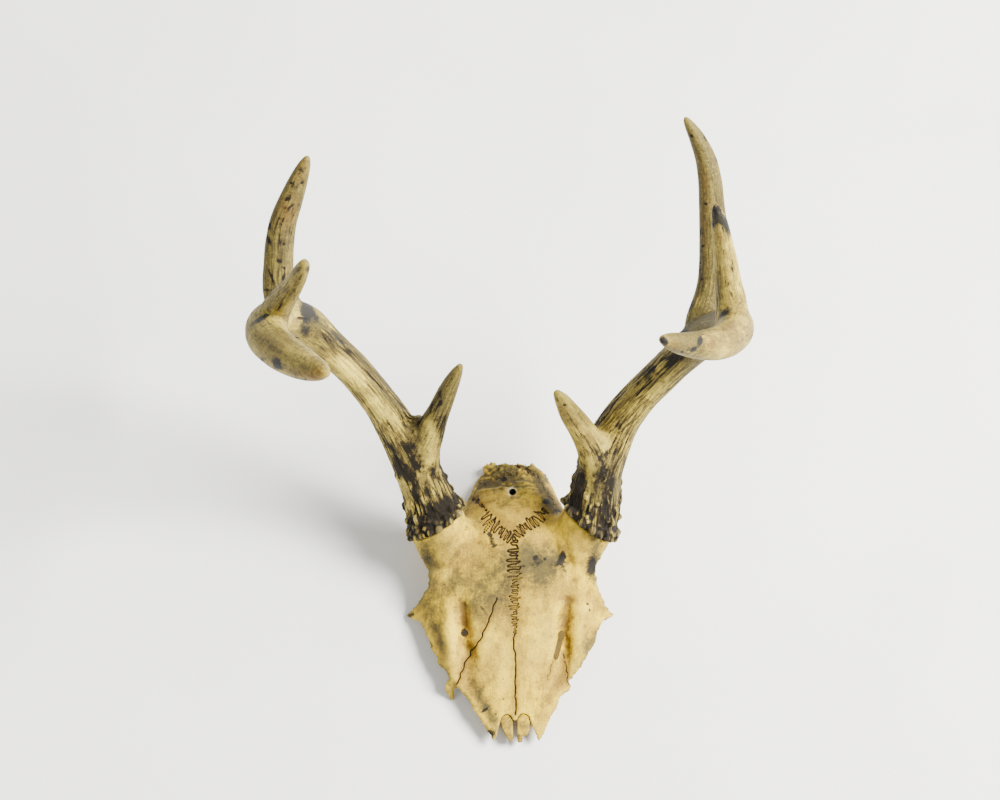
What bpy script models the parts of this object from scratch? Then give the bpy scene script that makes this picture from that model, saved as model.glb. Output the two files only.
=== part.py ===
"""Skull plate of a white-tailed deer with both antlers, lying as it rests on a level surface.

Everything is worked out in the skull's own frame, in millimetres: X towards the deer's left,
Y from the nose end to the nape, Z out of the forehead, with the middle of the nose end at the
origin. An empty then carries the whole rack and tips it so that the saw cut lies level.
Right and left are the deer's own.
"""

import math

import bmesh
import bpy
import numpy as np
from mathutils import Matrix, Vector

MM = 0.001

# Gap that a suture, or a cut between two lengths of antler, leaves between neighbours
CUT_GAP = 0.3

# Forehead: the slope from its level line towards the nose, and its crown from side to side,
# which flattens behind the brow
LEVEL_Y = 60.0
NOSE_SLOPE = 0.21
CROWN = 0.0046
CROWN_BEHIND = 0.0018
BROW_Y = 68.0
BROW_LENGTH = 26.0

# Vessels' groove that runs from each hole above the eye towards the nose, and the ridge outside it
GROOVE_X = 28.0
GROOVE_LEAN = 0.10
GROOVE_Y = 54.0
GROOVE_LENGTH = 17.0
GROOVE_DEPTH = 4.2
GROOVE_HALF_WIDTH = 4.2
RIDGE_OFFSET = 9.0
RIDGE_HEIGHT = 2.6
RIDGE_HALF_WIDTH = 5.5
RIDGE_LENGTH = 22.0

# Swellings and hollows on the middle line: height, place along Y, reach across, reach along
SWELLINGS = ((2.2, 104.0, 17.0, 16.0), (-1.4, 70.0, 12.0, 18.0))

# Frontal plate: where it bends into the dome behind, how its rim turns down, and its thickness
PLATE_END_Y = 120.0
BEND_Y = 111.0
BEND = 0.06
RIM_X = 38.0
RIM_TURN = 0.012
PLATE_THICKNESS = 4.6
RIM_THICKNESS = 2.8
RIM_WIDTH = 10.0
PLATE_GRID = (52, 84)

# Half width of the forehead plate from the nose end (first) to behind the antlers (last)
LEFT_MARGIN = ((0, 14.6), (9, 19.0), (18.5, 23.5), (26.9, 30.4), (33.6, 33.0), (42.6, 39.8),
               (52, 46.0), (59.3, 48.5), (64.2, 50.8), (66.4, 58.4), (70.5, 54.2), (78, 50.2),
               (86, 47.3), (93, 46.5), (102.5, 48.5), (112, 47.0), (120, 40.0))
RIGHT_MARGIN = ((0, 11.2), (12.9, 20.2), (21.3, 25.4), (26.3, 29.6), (33.6, 36.0), (40.9, 42.6),
                (52.1, 48.2), (59, 51.4), (63.4, 53.8), (65.8, 62.8), (70.2, 57.8), (76.6, 53.4),
                (84, 48.9), (91.3, 48.7), (101, 50.5), (112, 48.0), (120, 40.0))

# Block under the plate, with the walls of nose and braincase: half width and height of its
# crest from the nose end back, and the shape of its arched sections
CORE_WIDTH = ((3, 8.5), (15, 14.5), (30, 16.5), (50, 19.0), (80, 20.0), (95, 25.0), (110, 31.0),
              (120, 31.0), (132, 26.0), (143, 20.8), (149, 17.4), (154, 15.0))
DOME_CREST = ((112, -10.5), (120, -14.5), (128, -22.0), (135, -31.5), (141, -42.5), (146, -53.5),
              (150, -64.0), (154, -75.0))
CORE_CREST_DROP = 2.4
CREST_JOIN = (106.0, 114.0)
SECTION_SPACING = 3.0
ARCH_POINTS = 19
ARCH_HEIGHT = 30.0
ARCH_SHARE = 1.05
ARCH_POWER = 2.3
LEAST_SIDE = 0.5

# Hollows below: from and to along Y, and the bone left round them
NOSE_HOLLOW = (7.0, 60.0)
BRAIN_HOLLOW = (65.0, 146.5)
WALL_THICKNESS = 3.4
ROOF_THICKNESS = 6.0

# Saw cut that took the plate off the skull, on which it now rests: its height at the nose end
# and its slope, how far the blocks that it trims run past it, and its second, truing pass
SAW_Z = 2.0
SAW_SLOPE = -0.467
SAW_BELOW = 8.0
SAW_TRUING = 0.5
SAW_BLOCK = (200.0, 400.0, 60.0)

# Pedicles, past the seat of each burr, which trims them: x, y, z, diameter
RIGHT_PEDICLE = ((-28, 80, -36, 20), (-32, 92, -29, 28), (-36.8, 104, -22.8, 32.5),
                 (-41, 113, -18.8, 33), (-44.6, 121.6, -15, 33))
LEFT_PEDICLE = ((27, 80, -36, 20), (30.5, 92, -29, 27), (34.2, 104, -22.8, 31),
                (38.6, 113, -18.8, 32), (43.2, 121.6, -15, 32.5))

# Holes through the plate: x, y, diameter; and the end of the slot that the left one runs into
HANGING_HOLE = (-0.6, 136.3, 3.4)
RIGHT_FORAMEN = (-27.8, 57.9, 4.6)
LEFT_FORAMEN = (26.8, 57.1, 4.4)
LEFT_SLOT_END = (23.2, 44.6, 2.8)
THROUGH = (-110.0, 60.0)

# Broken nose end: the notch in the front of the frontals, with two round bays, and the
# outlines of the two stubs of nose bone that stand in it
NOTCH_RIGHT = ((-11.8, -6.0), (-10.6, 0.0), (-9.4, 4.5))
NOTCH_BAYS = (((-4.1, 11.1), 3.4), ((5.2, 11.1), 3.7))
NOTCH_LEFT = ((10.0, 7.8), (13.2, 1.7), (15.4, -6.0))
STUB_THICKNESS = 3.6
STUB_RECESS = 1.6
STUB_EDGE = 0.6
RIGHT_STUB = ((-7.1, 10.6), (-6.4, 12.9), (-4.1, 14.1), (-1.9, 13.0), (-1.1, 10.6), (-0.9, 4.0),
              (-1.2, -0.4), (-2.6, 0.4), (-4.8, 3.4), (-6.5, 7.2))
LEFT_STUB = ((1.9, 10.6), (2.6, 13.1), (5.2, 14.4), (7.7, 13.1), (8.5, 10.6), (8.2, 6.0),
             (7.2, 3.4), (4.6, 2.8), (4.2, -0.4), (2.4, -0.5), (1.9, 4.0))

# Sutures: the way each one takes, and the height and pitch of its zigzag
MIDLINE = (-10.0, 54.0, 109.0, 121.0)
MIDLINE_ZIGZAG = (1.9, 4.2)
CORONAL_PATH = ((-44, 137), (-25, 132), (-17.5, 130), (-14, 124), (-9, 118), (-1.7, 114.2),
                (5, 117), (12, 122), (16.5, 127), (30, 132.5), (44, 137))
CORONAL_ZIGZAG = (1.3, 3.4)
LAMBDOID_PATH = ((-32, 138), (-16, 142.5), (0, 144), (16, 142.5), (32, 138))

# Sliver of the right lacrimal bone that stays on the frontal's edge, and the cut that parts it
LACRIMAL = ((-31, 33, 1, 6, 3), (-34.6, 30.6, -1, 7.6, 3), (-36, 26.6, -3.5, 6, 2.8),
            (-35.2, 22.8, -5.5, 3.8, 2.4), (-34.6, 20.2, -7, 2.2, 1.8))
LACRIMAL_CUT = ((-40.5, 37.5), (-35.4, 31.2), (-31.6, 26.6), (-28.8, 22.4))

# Burr: its ring, the drum that seats it on the pedicle, its beads, and the pearls above it
BURR_DIAMETER = 39.0
BURR_THICKNESS = 6.5
RING_INSET = 2.2
SEAT_RADIUS = 27.0
SEAT_DEPTH = 24.0
BURR_BEADS = 26
BEAD_RADIUS = (2.1, 3.1)
BEAD_REACH = (0.4, 1.8)
BEAD_SHIFT = 1.4
BEAD_STRAY = 0.25
PEARLS = 34
PEARL_RADIUS = (1.0, 1.7)
PEARL_START = 5.0
PEARL_REACH = 34.0

# Antlers, x, y, z, width across, depth: from the burr out to each tip
RIGHT_BURR = ((-45.0, 122.5, -14.5), (-0.50, 0.82, 0.28))
RIGHT_BEAM = ((-44, 120, -16, 31, 32), (-46.2, 128, -12, 31, 32), (-49.3, 137.7, -7, 28, 29),
              (-53.7, 149.6, -1, 26, 27), (-58.7, 161.5, 5, 25, 26), (-64.9, 173.2, 12, 22.5, 25),
              (-74.9, 189.6, 25, 19.2, 22), (-88, 206.2, 37, 18.8, 21), (-100.8, 218.6, 49, 19.4, 21),
              (-111, 229.2, 66, 21, 21), (-120.5, 232.5, 86, 21.5, 20), (-127, 229, 108, 21.5, 20),
              (-125.5, 221.5, 130, 21, 19), (-115.5, 213, 152, 19.5, 17),
              (-103.8, 206.8, 172, 16.5, 14), (-95.2, 203.6, 186, 11.5, 10),
              (-91.0, 202.4, 193, 5.5, 5.5))
RIGHT_BROW = ((-57.5, 156, 7, 18, 18), (-51.5, 163.5, 12, 20, 18), (-47.6, 171.5, 18, 17.4, 15.6),
              (-41.8, 182.2, 27, 13, 13), (-36.1, 194.7, 38, 10.4, 11), (-31.6, 203.3, 46, 7, 7.5),
              (-29.0, 207.8, 50, 3.4, 3.6))
RIGHT_SECOND = ((-114.5, 230.5, 73, 17, 17), (-121, 236, 66, 19, 19), (-125.6, 248, 63, 17.4, 17.4),
                (-125.6, 262.1, 66, 16.2, 16), (-124.8, 272.6, 68, 15.6, 15.5),
                (-122.8, 283.6, 70, 14.6, 14.5), (-118.8, 294, 73, 13, 13),
                (-114.3, 304.8, 76, 10.3, 10.6), (-110.9, 312.4, 79, 7, 7.2),
                (-108.9, 316.5, 81, 3.6, 3.6))
RIGHT_THIRD = ((-126, 228.5, 106, 18, 18), (-121.5, 235.3, 122, 15.4, 15.5),
               (-115.5, 241.2, 138, 12.4, 13), (-108.6, 247.6, 156, 9.6, 10),
               (-104.1, 253.4, 168, 7.4, 7.6), (-102.6, 256, 173, 4.6, 4.6))

LEFT_BURR = ((44.0, 123.0, -14.5), (0.58, 0.77, 0.28))
LEFT_BEAM = ((43, 120.5, -16, 31, 32), (44.6, 128.5, -12, 31, 32), (46, 138.8, -7, 28, 29),
             (48, 150.2, -1, 26, 27), (51.7, 163.1, 5, 25.5, 26), (58.8, 177.6, 13, 22.5, 25),
             (69.3, 191.6, 25, 19.6, 22), (79.5, 202.4, 36, 19.2, 21), (90.1, 213.2, 50, 19.6, 21),
             (100.1, 222.3, 66, 21, 21), (108.3, 227, 86, 20, 20), (112.4, 228.2, 108, 19, 19),
             (110.6, 223.5, 128, 18.5, 18.5), (103, 218.4, 146, 17.9, 17),
             (93.3, 216.3, 160, 15.8, 15), (81.4, 216.5, 174, 11.2, 11.6),
             (74, 217.7, 183, 8, 8.4), (69.8, 218.5, 188, 4.2, 4.4))
LEFT_BROW = ((52, 152, 6, 18, 18), (46.8, 157.6, 12, 17.5, 17), (42.6, 164.4, 19, 16, 16),
             (37.2, 172.8, 26, 14.6, 14.6), (30.3, 182.2, 36, 12, 12), (25.7, 189.3, 43, 8.2, 8.4),
             (22.6, 193.4, 48, 4, 4))
LEFT_SECOND = ((97, 219, 62, 16, 16), (101.4, 231, 63, 21, 18.4), (105, 246, 62, 18.2, 17),
               (106.1, 258.6, 63, 16.6, 16), (105.9, 272.9, 64, 15.6, 15),
               (105.4, 284, 65, 14.9, 14.5), (104.6, 294.6, 66, 13.7, 13.7),
               (103.6, 305.5, 68, 12.8, 12.8), (101.3, 316.5, 70, 11.3, 11.3),
               (96.8, 326.7, 73, 8.8, 9), (92.4, 333.9, 75, 5.8, 6), (90, 337.6, 76, 3.2, 3.2))
LEFT_THIRD = ((112, 226, 106, 19, 18), (110, 240.3, 116, 15.8, 15), (108, 248.2, 122, 14, 13.4),
              (106, 258.3, 130, 12.2, 11.8), (103.7, 267.9, 138, 10.4, 10),
              (101.3, 277.8, 146, 8.2, 8.2), (99.7, 282.9, 150, 6, 6), (99.1, 285.3, 152, 3.6, 3.6))
TIP_ROUNDNESS = 0.45

# Each antler: its branches, where along their stations they are parted, and its random seed
ANTLERS = {
    "right": {"burr": RIGHT_BURR, "beam": RIGHT_BEAM, "brow": RIGHT_BROW, "second": RIGHT_SECOND,
              "third": RIGHT_THIRD, "beam_cuts": (6.4, 10.6), "brow_cut": 2.4, "second_cut": 1.2,
              "third_cut": 1.6, "seed": 11},
    "left": {"burr": LEFT_BURR, "beam": LEFT_BEAM, "brow": LEFT_BROW, "second": LEFT_SECOND,
             "third": LEFT_THIRD, "beam_cuts": (6.4, 10.5), "brow_cut": 3.0, "second_cut": 1.7,
             "third_cut": 1.1, "seed": 23}}
BLADE_SPREAD = 1.5

# Mesh sizes
RING_POINTS = 20
STEPS_PER_STATION = 4
FINE_STEPS = 8
HOLE_SIDES = 16
DRUM_SIDES = 24
BLADE_SIDES = 32
ARC_POINTS = 9
ANTLER_VOXEL = 1.1
ANTLER_TRIANGLES = 2700
SKULL_VOXEL = 1.2
SKULL_TRIANGLES = 3600
SMOOTHING = 3
SECOND_SMOOTHING = 2

# Middles by which the loose bones are told apart, once the sutures have parted them
BONE_MIDDLES = {"frontal": (0, 60, -5), "parietal": (0, 125, -35), "occipital": (0, 147, -60),
                "lacrimal_right": (-35, 26, -3)}
FRONTAL_MIDDLES = {"frontal_right": (-28, 75, -8), "frontal_left": (28, 75, -8)}

ANTLER_COLOUR = (0.42, 0.33, 0.20, 1)
BONE_COLOUR = (0.62, 0.48, 0.27, 1)
BONE_ROUGHNESS = 0.55


def clear_scene():
    for item in list(bpy.data.objects):
        bpy.data.objects.remove(item, do_unlink=True)


def new_collection(name):
    group = bpy.data.collections.new(name)
    bpy.context.scene.collection.children.link(group)
    return group


def make_material(name, colour):
    """Dull, non-metallic finish in one colour."""
    finish = bpy.data.materials.new(name)
    finish.use_nodes = True
    shader = finish.node_tree.nodes["Principled BSDF"]
    shader.inputs["Base Color"].default_value = colour
    shader.inputs["Roughness"].default_value = BONE_ROUGHNESS
    shader.inputs["Metallic"].default_value = 0.0
    return finish


def new_object(name, mesh, group):
    item = bpy.data.objects.new(name, mesh)
    group.objects.link(item)
    return item


def object_from(name, build, group):
    """Turn a finished bmesh into an object, and free it."""
    mesh = bpy.data.meshes.new(name)
    build.to_mesh(mesh)
    build.free()
    return new_object(name, mesh, group)


def move_to(item, group):
    """Take an object that an operator made out of its collections and into a group."""
    for old in list(item.users_collection):
        old.objects.unlink(item)
    group.objects.link(item)


def select_only(items):
    bpy.ops.object.select_all(action="DESELECT")
    for item in items:
        item.select_set(True)
    bpy.context.view_layer.objects.active = items[0]


def apply_modifiers(item):
    """Replace an object's mesh by what its modifiers make of it."""
    graph = bpy.context.evaluated_depsgraph_get()
    made = bpy.data.meshes.new_from_object(item.evaluated_get(graph))
    item.modifiers.clear()
    item.data = made


def join(name, items):
    """Make one object of several; their meshes stay as they are."""
    if len(items) > 1:
        select_only(items)
        bpy.ops.object.join()
    items[0].name = name
    return items[0]


def fuse(name, items, voxel, smoothing):
    """Fuse overlapping closed pieces into one skin, and round its joints."""
    whole = join(name, items)
    remesh = whole.modifiers.new("fuse", "REMESH")
    remesh.mode = "VOXEL"
    remesh.voxel_size = voxel * MM
    remesh.adaptivity = 0.0
    rounding = whole.modifiers.new("round", "SMOOTH")
    rounding.factor = 0.5
    rounding.iterations = smoothing
    apply_modifiers(whole)
    return whole


def thin(item, triangles):
    """Bring a mesh down to a number of triangles, where they matter least."""
    item.modifiers.new("triangles", "TRIANGULATE")
    apply_modifiers(item)
    fewer = item.modifiers.new("thin", "DECIMATE")
    fewer.ratio = triangles / len(item.data.polygons)
    apply_modifiers(item)


def as_cutter(item):
    item.hide_render = True
    item.display_type = "WIRE"
    return item


def cut(item, cutter):
    """Take a closed cutter out of an object, and remove the cutter."""
    knife = item.modifiers.new("cut", "BOOLEAN")
    knife.operation = "DIFFERENCE"
    knife.object = as_cutter(cutter)
    apply_modifiers(item)
    bpy.data.objects.remove(cutter, do_unlink=True)


def part_loose(item, middles):
    """Part an object into its loose pieces, each named for the middle it lies nearest.

    The largest piece chooses first, and scraps that are left over are removed.
    """
    select_only([item])
    bpy.ops.object.mode_set(mode="EDIT")
    bpy.ops.mesh.select_all(action="SELECT")
    bpy.ops.mesh.separate(type="LOOSE")
    bpy.ops.object.mode_set(mode="OBJECT")
    pieces = list(bpy.context.selected_objects)
    pieces.sort(key=lambda piece: -len(piece.data.vertices))
    named = {}
    for piece in pieces:
        middle = np.mean([vertex.co[:] for vertex in piece.data.vertices], axis=0) / MM
        free = [name for name in middles if name not in named]
        if not free:
            bpy.data.objects.remove(piece, do_unlink=True)
            continue
        nearest = min(free, key=lambda name: np.linalg.norm(middle - np.array(middles[name])))
        piece.name = nearest
        piece.data.name = nearest
        named[nearest] = piece
    return named


def smooth_path(stations, steps):
    """Points on a curve through the stations, and where each lies along them."""
    rows = np.array(stations, dtype=float)
    before = 2 * rows[0] - rows[1]
    after = 2 * rows[-1] - rows[-2]
    padded = np.vstack([before, rows, after])
    path = []
    along = []
    for index in range(len(rows) - 1):
        p0, p1, p2, p3 = padded[index:index + 4]
        for step in range(steps):
            t = step / steps
            path.append(0.5 * (2 * p1 + (p2 - p0) * t + (2 * p0 - 5 * p1 + 4 * p2 - p3) * t ** 2
                               + (3 * p1 - p0 - 3 * p2 + p3) * t ** 3))
            along.append(index + t)
    path.append(rows[-1])
    along.append(len(rows) - 1)
    return np.array(path), np.array(along)


def ring_frames(points):
    """Tangent and two cross directions at each point, carried along without twisting."""
    tangents = np.gradient(points, axis=0)
    tangents /= np.linalg.norm(tangents, axis=1)[:, None]
    side = np.array((1.0, 0.0, 0.0))
    sides = []
    for tangent in tangents:
        side = side - tangent * side.dot(tangent)
        side = side / np.linalg.norm(side)
        sides.append(side)
    sides = np.array(sides)
    return tangents, sides, np.cross(tangents, sides)


def loft(name, stations, group, flat=False):
    """Closed tube of oval sections through stations of x, y, z, width and depth."""
    path, _ = smooth_path(stations, STEPS_PER_STATION)
    centres = path[:, :3]
    tangents, sides, ups = ring_frames(centres)
    angles = np.arange(RING_POINTS) * 2 * math.pi / RING_POINTS
    build = bmesh.new()
    rings = []
    for centre, side, up, size in zip(centres, sides, ups, path[:, 3:5]):
        ring = [centre + side * math.cos(a) * size[0] / 2 + up * math.sin(a) * size[1] / 2
                for a in angles]
        rings.append([build.verts.new(point * MM) for point in ring])
    bridge(build, rings)
    if flat:
        build.faces.new(rings[-1])
    else:
        tip = build.verts.new((centres[-1] + tangents[-1] * path[-1, 3] * TIP_ROUNDNESS) * MM)
        for index in range(RING_POINTS):
            build.faces.new((rings[-1][index], rings[-1][(index + 1) % RING_POINTS], tip))
    build.faces.new(list(reversed(rings[0])))
    return object_from(name, build, group)


def bridge(build, rings):
    """Join each ring of points to the next with four-sided faces."""
    count = len(rings[0])
    for near, far in zip(rings, rings[1:]):
        for index in range(count):
            following = (index + 1) % count
            build.faces.new((near[index], near[following], far[following], far[index]))


def ball(name, centre, radius, group):
    build = bmesh.new()
    bmesh.ops.create_icosphere(build, subdivisions=2, radius=radius * MM)
    bmesh.ops.translate(build, vec=Vector(centre) * MM, verts=build.verts)
    return object_from(name, build, group)


def drum(name, centre, axis, radius, length, group, sides=DRUM_SIDES):
    """Closed cylinder whose middle is at centre and whose length runs along axis."""
    build = bmesh.new()
    bmesh.ops.create_cone(build, cap_ends=True, segments=sides, radius1=radius * MM,
                          radius2=radius * MM, depth=length * MM)
    turn = Vector((0, 0, 1)).rotation_difference(Vector(axis)).to_matrix().to_4x4()
    build.transform(Matrix.Translation(Vector(centre) * MM) @ turn)
    return object_from(name, build, group)


def prism(name, outline, group, low=THROUGH[0], high=THROUGH[1]):
    """Flat outline in X and Y, given height from low to high."""
    build = bmesh.new()
    face = build.faces.new([build.verts.new(Vector((x, y, low)) * MM) for x, y in outline])
    made = bmesh.ops.extrude_face_region(build, geom=[face])
    raised = [item for item in made["geom"] if isinstance(item, bmesh.types.BMVert)]
    bmesh.ops.translate(build, vec=Vector((0, 0, (high - low) * MM)), verts=raised)
    bmesh.ops.recalc_face_normals(build, faces=build.faces)
    return object_from(name, build, group)


def arc(centre, radius, first_deg, last_deg):
    """Points on a round stretch of an outline."""
    turns = np.radians(np.linspace(first_deg, last_deg, ARC_POINTS))
    return [(centre[0] + radius * math.cos(turn), centre[1] + radius * math.sin(turn))
            for turn in turns]


def ribbon(name, path, group):
    """Thin upright blade that follows a path across the skull."""
    build = bmesh.new()
    rows = [[build.verts.new(Vector((x, y, height)) * MM) for x, y in path] for height in THROUGH]
    for index in range(len(path) - 1):
        build.faces.new((rows[0][index], rows[0][index + 1], rows[1][index + 1], rows[1][index]))
    blade = object_from(name, build, group)
    shell = blade.modifiers.new("gap", "SOLIDIFY")
    shell.thickness = CUT_GAP * MM
    shell.offset = 0
    shell.use_even_offset = True
    apply_modifiers(blade)
    return blade


def zigzag(path, size, pitch):
    """Set the points of a path off to either side by turns."""
    points = np.array(path, dtype=float)
    lengths = np.concatenate([[0], np.cumsum(np.linalg.norm(np.diff(points, axis=0), axis=1))])
    total = lengths[-1]
    marks = np.append(np.arange(0, total, pitch / 2), total)

    def place(mark):
        return np.array([np.interp(mark, lengths, points[:, axis]) for axis in (0, 1)])

    woven = []
    for index, mark in enumerate(marks):
        run = place(min(mark + pitch / 8, total)) - place(max(mark - pitch / 8, 0))
        run = run / np.linalg.norm(run)
        offset = size if index % 2 else -size
        here = place(mark)
        woven.append((here[0] - run[1] * offset, here[1] + run[0] * offset))
    return woven


def eased(table, y):
    """Value at y on a smooth curve through a table of (y, value), with no overshoot."""
    rows = np.array(table, dtype=float)
    steps = np.diff(rows[:, 0])
    slopes = np.diff(rows[:, 1]) / steps
    turning = slopes[1:] * slopes[:-1] <= 0
    total = np.where(turning, 1.0, slopes[1:] + slopes[:-1])
    inner = np.where(turning, 0.0, 2 * slopes[1:] * slopes[:-1] / total)
    tangents = np.concatenate([[slopes[0]], inner, [slopes[-1]]])
    y = np.clip(y, rows[0, 0], rows[-1, 0])
    index = np.clip(np.searchsorted(rows[:, 0], y, side="right") - 1, 0, len(steps) - 1)
    t = (y - rows[index, 0]) / steps[index]
    return (rows[index, 1] * (1 + 2 * t) * (1 - t) ** 2
            + tangents[index] * steps[index] * t * (1 - t) ** 2
            + rows[index + 1, 1] * t * t * (3 - 2 * t)
            + tangents[index + 1] * steps[index] * t * t * (t - 1))


def bell(distance, reach):
    """Smooth hump, 1 at no distance and nearly gone at twice its reach."""
    return np.exp(-(distance / reach) ** 2)


def forehead_height(x, y):
    """Height of the outer face of the frontal bones above the skull frame's zero."""
    reach = np.abs(x)
    behind = np.clip((y - BROW_Y) / BROW_LENGTH, 0, 1)
    crown = CROWN + (CROWN_BEHIND - CROWN) * behind * behind * (3 - 2 * behind)
    height = NOSE_SLOPE * (LEVEL_Y - y) - crown * x * x
    groove_x = GROOVE_X - GROOVE_LEAN * np.clip(RIGHT_FORAMEN[1] - y, -20, LEVEL_Y)
    height = height - (GROOVE_DEPTH * bell(y - GROOVE_Y, GROOVE_LENGTH)
                       * bell(reach - groove_x, GROOVE_HALF_WIDTH))
    height = height + (RIDGE_HEIGHT * bell(y - GROOVE_Y, RIDGE_LENGTH)
                       * bell(reach - groove_x - RIDGE_OFFSET, RIDGE_HALF_WIDTH))
    for swelling, middle, across, along in SWELLINGS:
        height = height + swelling * bell(x, across) * bell(y - middle, along)
    height = height - BEND * np.clip(y - BEND_Y, 0, None) ** 2
    return height - RIM_TURN * np.clip(reach - RIM_X, 0, None) ** 2


def margin(side_table, y):
    table = np.array(side_table, dtype=float)
    return np.interp(y, table[:, 0], table[:, 1])


def make_plate(group):
    """Frontal plate: a sheet cut to the margins, bent to the forehead and given thickness."""
    bpy.ops.mesh.primitive_grid_add(x_subdivisions=PLATE_GRID[0], y_subdivisions=PLATE_GRID[1],
                                    size=2)
    plate = bpy.context.object
    move_to(plate, group)
    flat = np.array([vertex.co[:2] for vertex in plate.data.vertices])
    y = (flat[:, 1] + 1) / 2 * PLATE_END_Y
    half = np.where(flat[:, 0] > 0, margin(LEFT_MARGIN, y), margin(RIGHT_MARGIN, y))
    x = flat[:, 0] * half
    places = np.stack([x, y, forehead_height(x, y)], axis=1) * MM
    plate.data.vertices.foreach_set("co", places.ravel())
    weights = plate.vertex_groups.new(name="thickness")
    inward = np.clip((1 - np.abs(flat[:, 0])) * half / RIM_WIDTH, 0, 1)
    share = RIM_THICKNESS / PLATE_THICKNESS
    for index, value in enumerate(share + (1 - share) * inward):
        weights.add([index], float(value), "REPLACE")
    shell = plate.modifiers.new("thickness", "SOLIDIFY")
    shell.thickness = PLATE_THICKNESS * MM
    shell.offset = -1
    shell.vertex_group = "thickness"
    apply_modifiers(plate)
    plate.vertex_groups.clear()
    return plate


def crest(y):
    """Height of the skull's middle line, from the nose end to the nape."""
    front = forehead_height(np.zeros_like(y), y) - CORE_CREST_DROP
    joined = np.clip((y - CREST_JOIN[0]) / (CREST_JOIN[1] - CREST_JOIN[0]), 0, 1)
    return front * (1 - joined) + eased(DOME_CREST, y) * joined


def make_core(name, group, first_y, last_y, inset=0.0, roof=0.0, deeper=0.0):
    """Block under the plate: arched sections along Y, with straight walls below.

    The same block, inset and with its roof lowered, is the hollow inside the walls.
    """
    stations = np.linspace(first_y, last_y, round((last_y - first_y) / SECTION_SPACING))
    angles = np.linspace(0, math.pi, ARCH_POINTS)
    across = np.sign(np.cos(angles)) * np.abs(np.cos(angles)) ** (2 / ARCH_POWER)
    rise = np.sin(angles) ** (2 / ARCH_POWER)
    halves = eased(CORE_WIDTH, stations) - inset
    tops = crest(stations) - roof
    lows = np.minimum(SAW_Z + SAW_SLOPE * stations - SAW_BELOW - deeper, tops - 2 * LEAST_SIDE)
    build = bmesh.new()
    rings = []
    for y, half, top, low in zip(stations, halves, tops, lows):
        arch = min(ARCH_HEIGHT, half * ARCH_SHARE, top - low - LEAST_SIDE)
        ring = [(half * a, y, top - arch + arch * b) for a, b in zip(across, rise)]
        ring = [(half, y, low)] + ring + [(-half, y, low)]
        rings.append([build.verts.new(Vector(point) * MM) for point in ring])
    bridge(build, rings)
    build.faces.new(rings[-1])
    build.faces.new(list(reversed(rings[0])))
    bmesh.ops.recalc_face_normals(build, faces=build.faces)
    return object_from(name, build, group)


def make_saw(group, raised=0.0):
    """Everything below the saw cut, or below one raised a little."""
    bpy.ops.mesh.primitive_cube_add(size=1)
    saw = bpy.context.object
    move_to(saw, group)
    place = Matrix.Translation(Vector((0, 0, SAW_Z + raised)) * MM)
    turn = Matrix.Rotation(math.atan(SAW_SLOPE), 4, "X")
    drop = Matrix.Translation(Vector((0, 0, -SAW_BLOCK[2] / 2)) * MM)
    saw.data.transform(place @ turn @ drop @ Matrix.Diagonal((*SAW_BLOCK, 1 / MM)) * MM)
    return saw


def make_notch(group):
    """Broken notch in the front of the frontals: two round bays, open at the nose end."""
    outline = list(NOTCH_RIGHT)
    for centre, radius in NOTCH_BAYS:
        outline += arc(centre, radius, 180, 0)
    return prism("notch", outline + list(NOTCH_LEFT), group)


def make_slot(group):
    """Slot that runs from the hole above the left eye towards the nose."""
    start = np.array(LEFT_FORAMEN[:2])
    end = np.array(LEFT_SLOT_END[:2])
    run = end - start
    heading = math.degrees(math.atan2(run[1], run[0]))
    radius = LEFT_SLOT_END[2] / 2
    outline = arc(end, radius, heading - 90, heading + 90)
    outline += arc(start, radius, heading + 90, heading + 270)
    return prism("slot", outline, group)


def make_hole(place, group):
    x, y, diameter = place
    low, high = THROUGH
    return drum("hole", (x, y, (low + high) / 2), (0, 0, 1), diameter / 2, high - low, group,
                HOLE_SIDES)


def make_stub(name, outline, group):
    """Broken end of a nose bone: a small tongue that lies in the slope of the forehead."""
    stub = prism(name, outline, group, 0, STUB_THICKNESS)
    top = NOSE_SLOPE * LEVEL_Y - STUB_RECESS - STUB_THICKNESS
    lean = Matrix.Shear("XY", 4, (0, 0))
    lean[2][1] = -NOSE_SLOPE
    stub.data.transform(Matrix.Translation(Vector((0, 0, top * MM))) @ lean)
    rounding = stub.modifiers.new("edges", "BEVEL")
    rounding.width = STUB_EDGE * MM
    rounding.segments = 2
    rounding.limit_method = "ANGLE"
    apply_modifiers(stub)
    return stub


def make_seat(place, group, above):
    """Drum that trims what stands above the seat of a burr, or what hangs below it."""
    centre, axis = (np.array(item, dtype=float) for item in place)
    axis = axis / np.linalg.norm(axis)
    seat = centre - axis * BURR_THICKNESS / 2
    shift = SEAT_DEPTH / 2 - CUT_GAP if above else -SEAT_DEPTH / 2
    return drum("seat", seat + axis * shift, axis, SEAT_RADIUS, SEAT_DEPTH, group)


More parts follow.
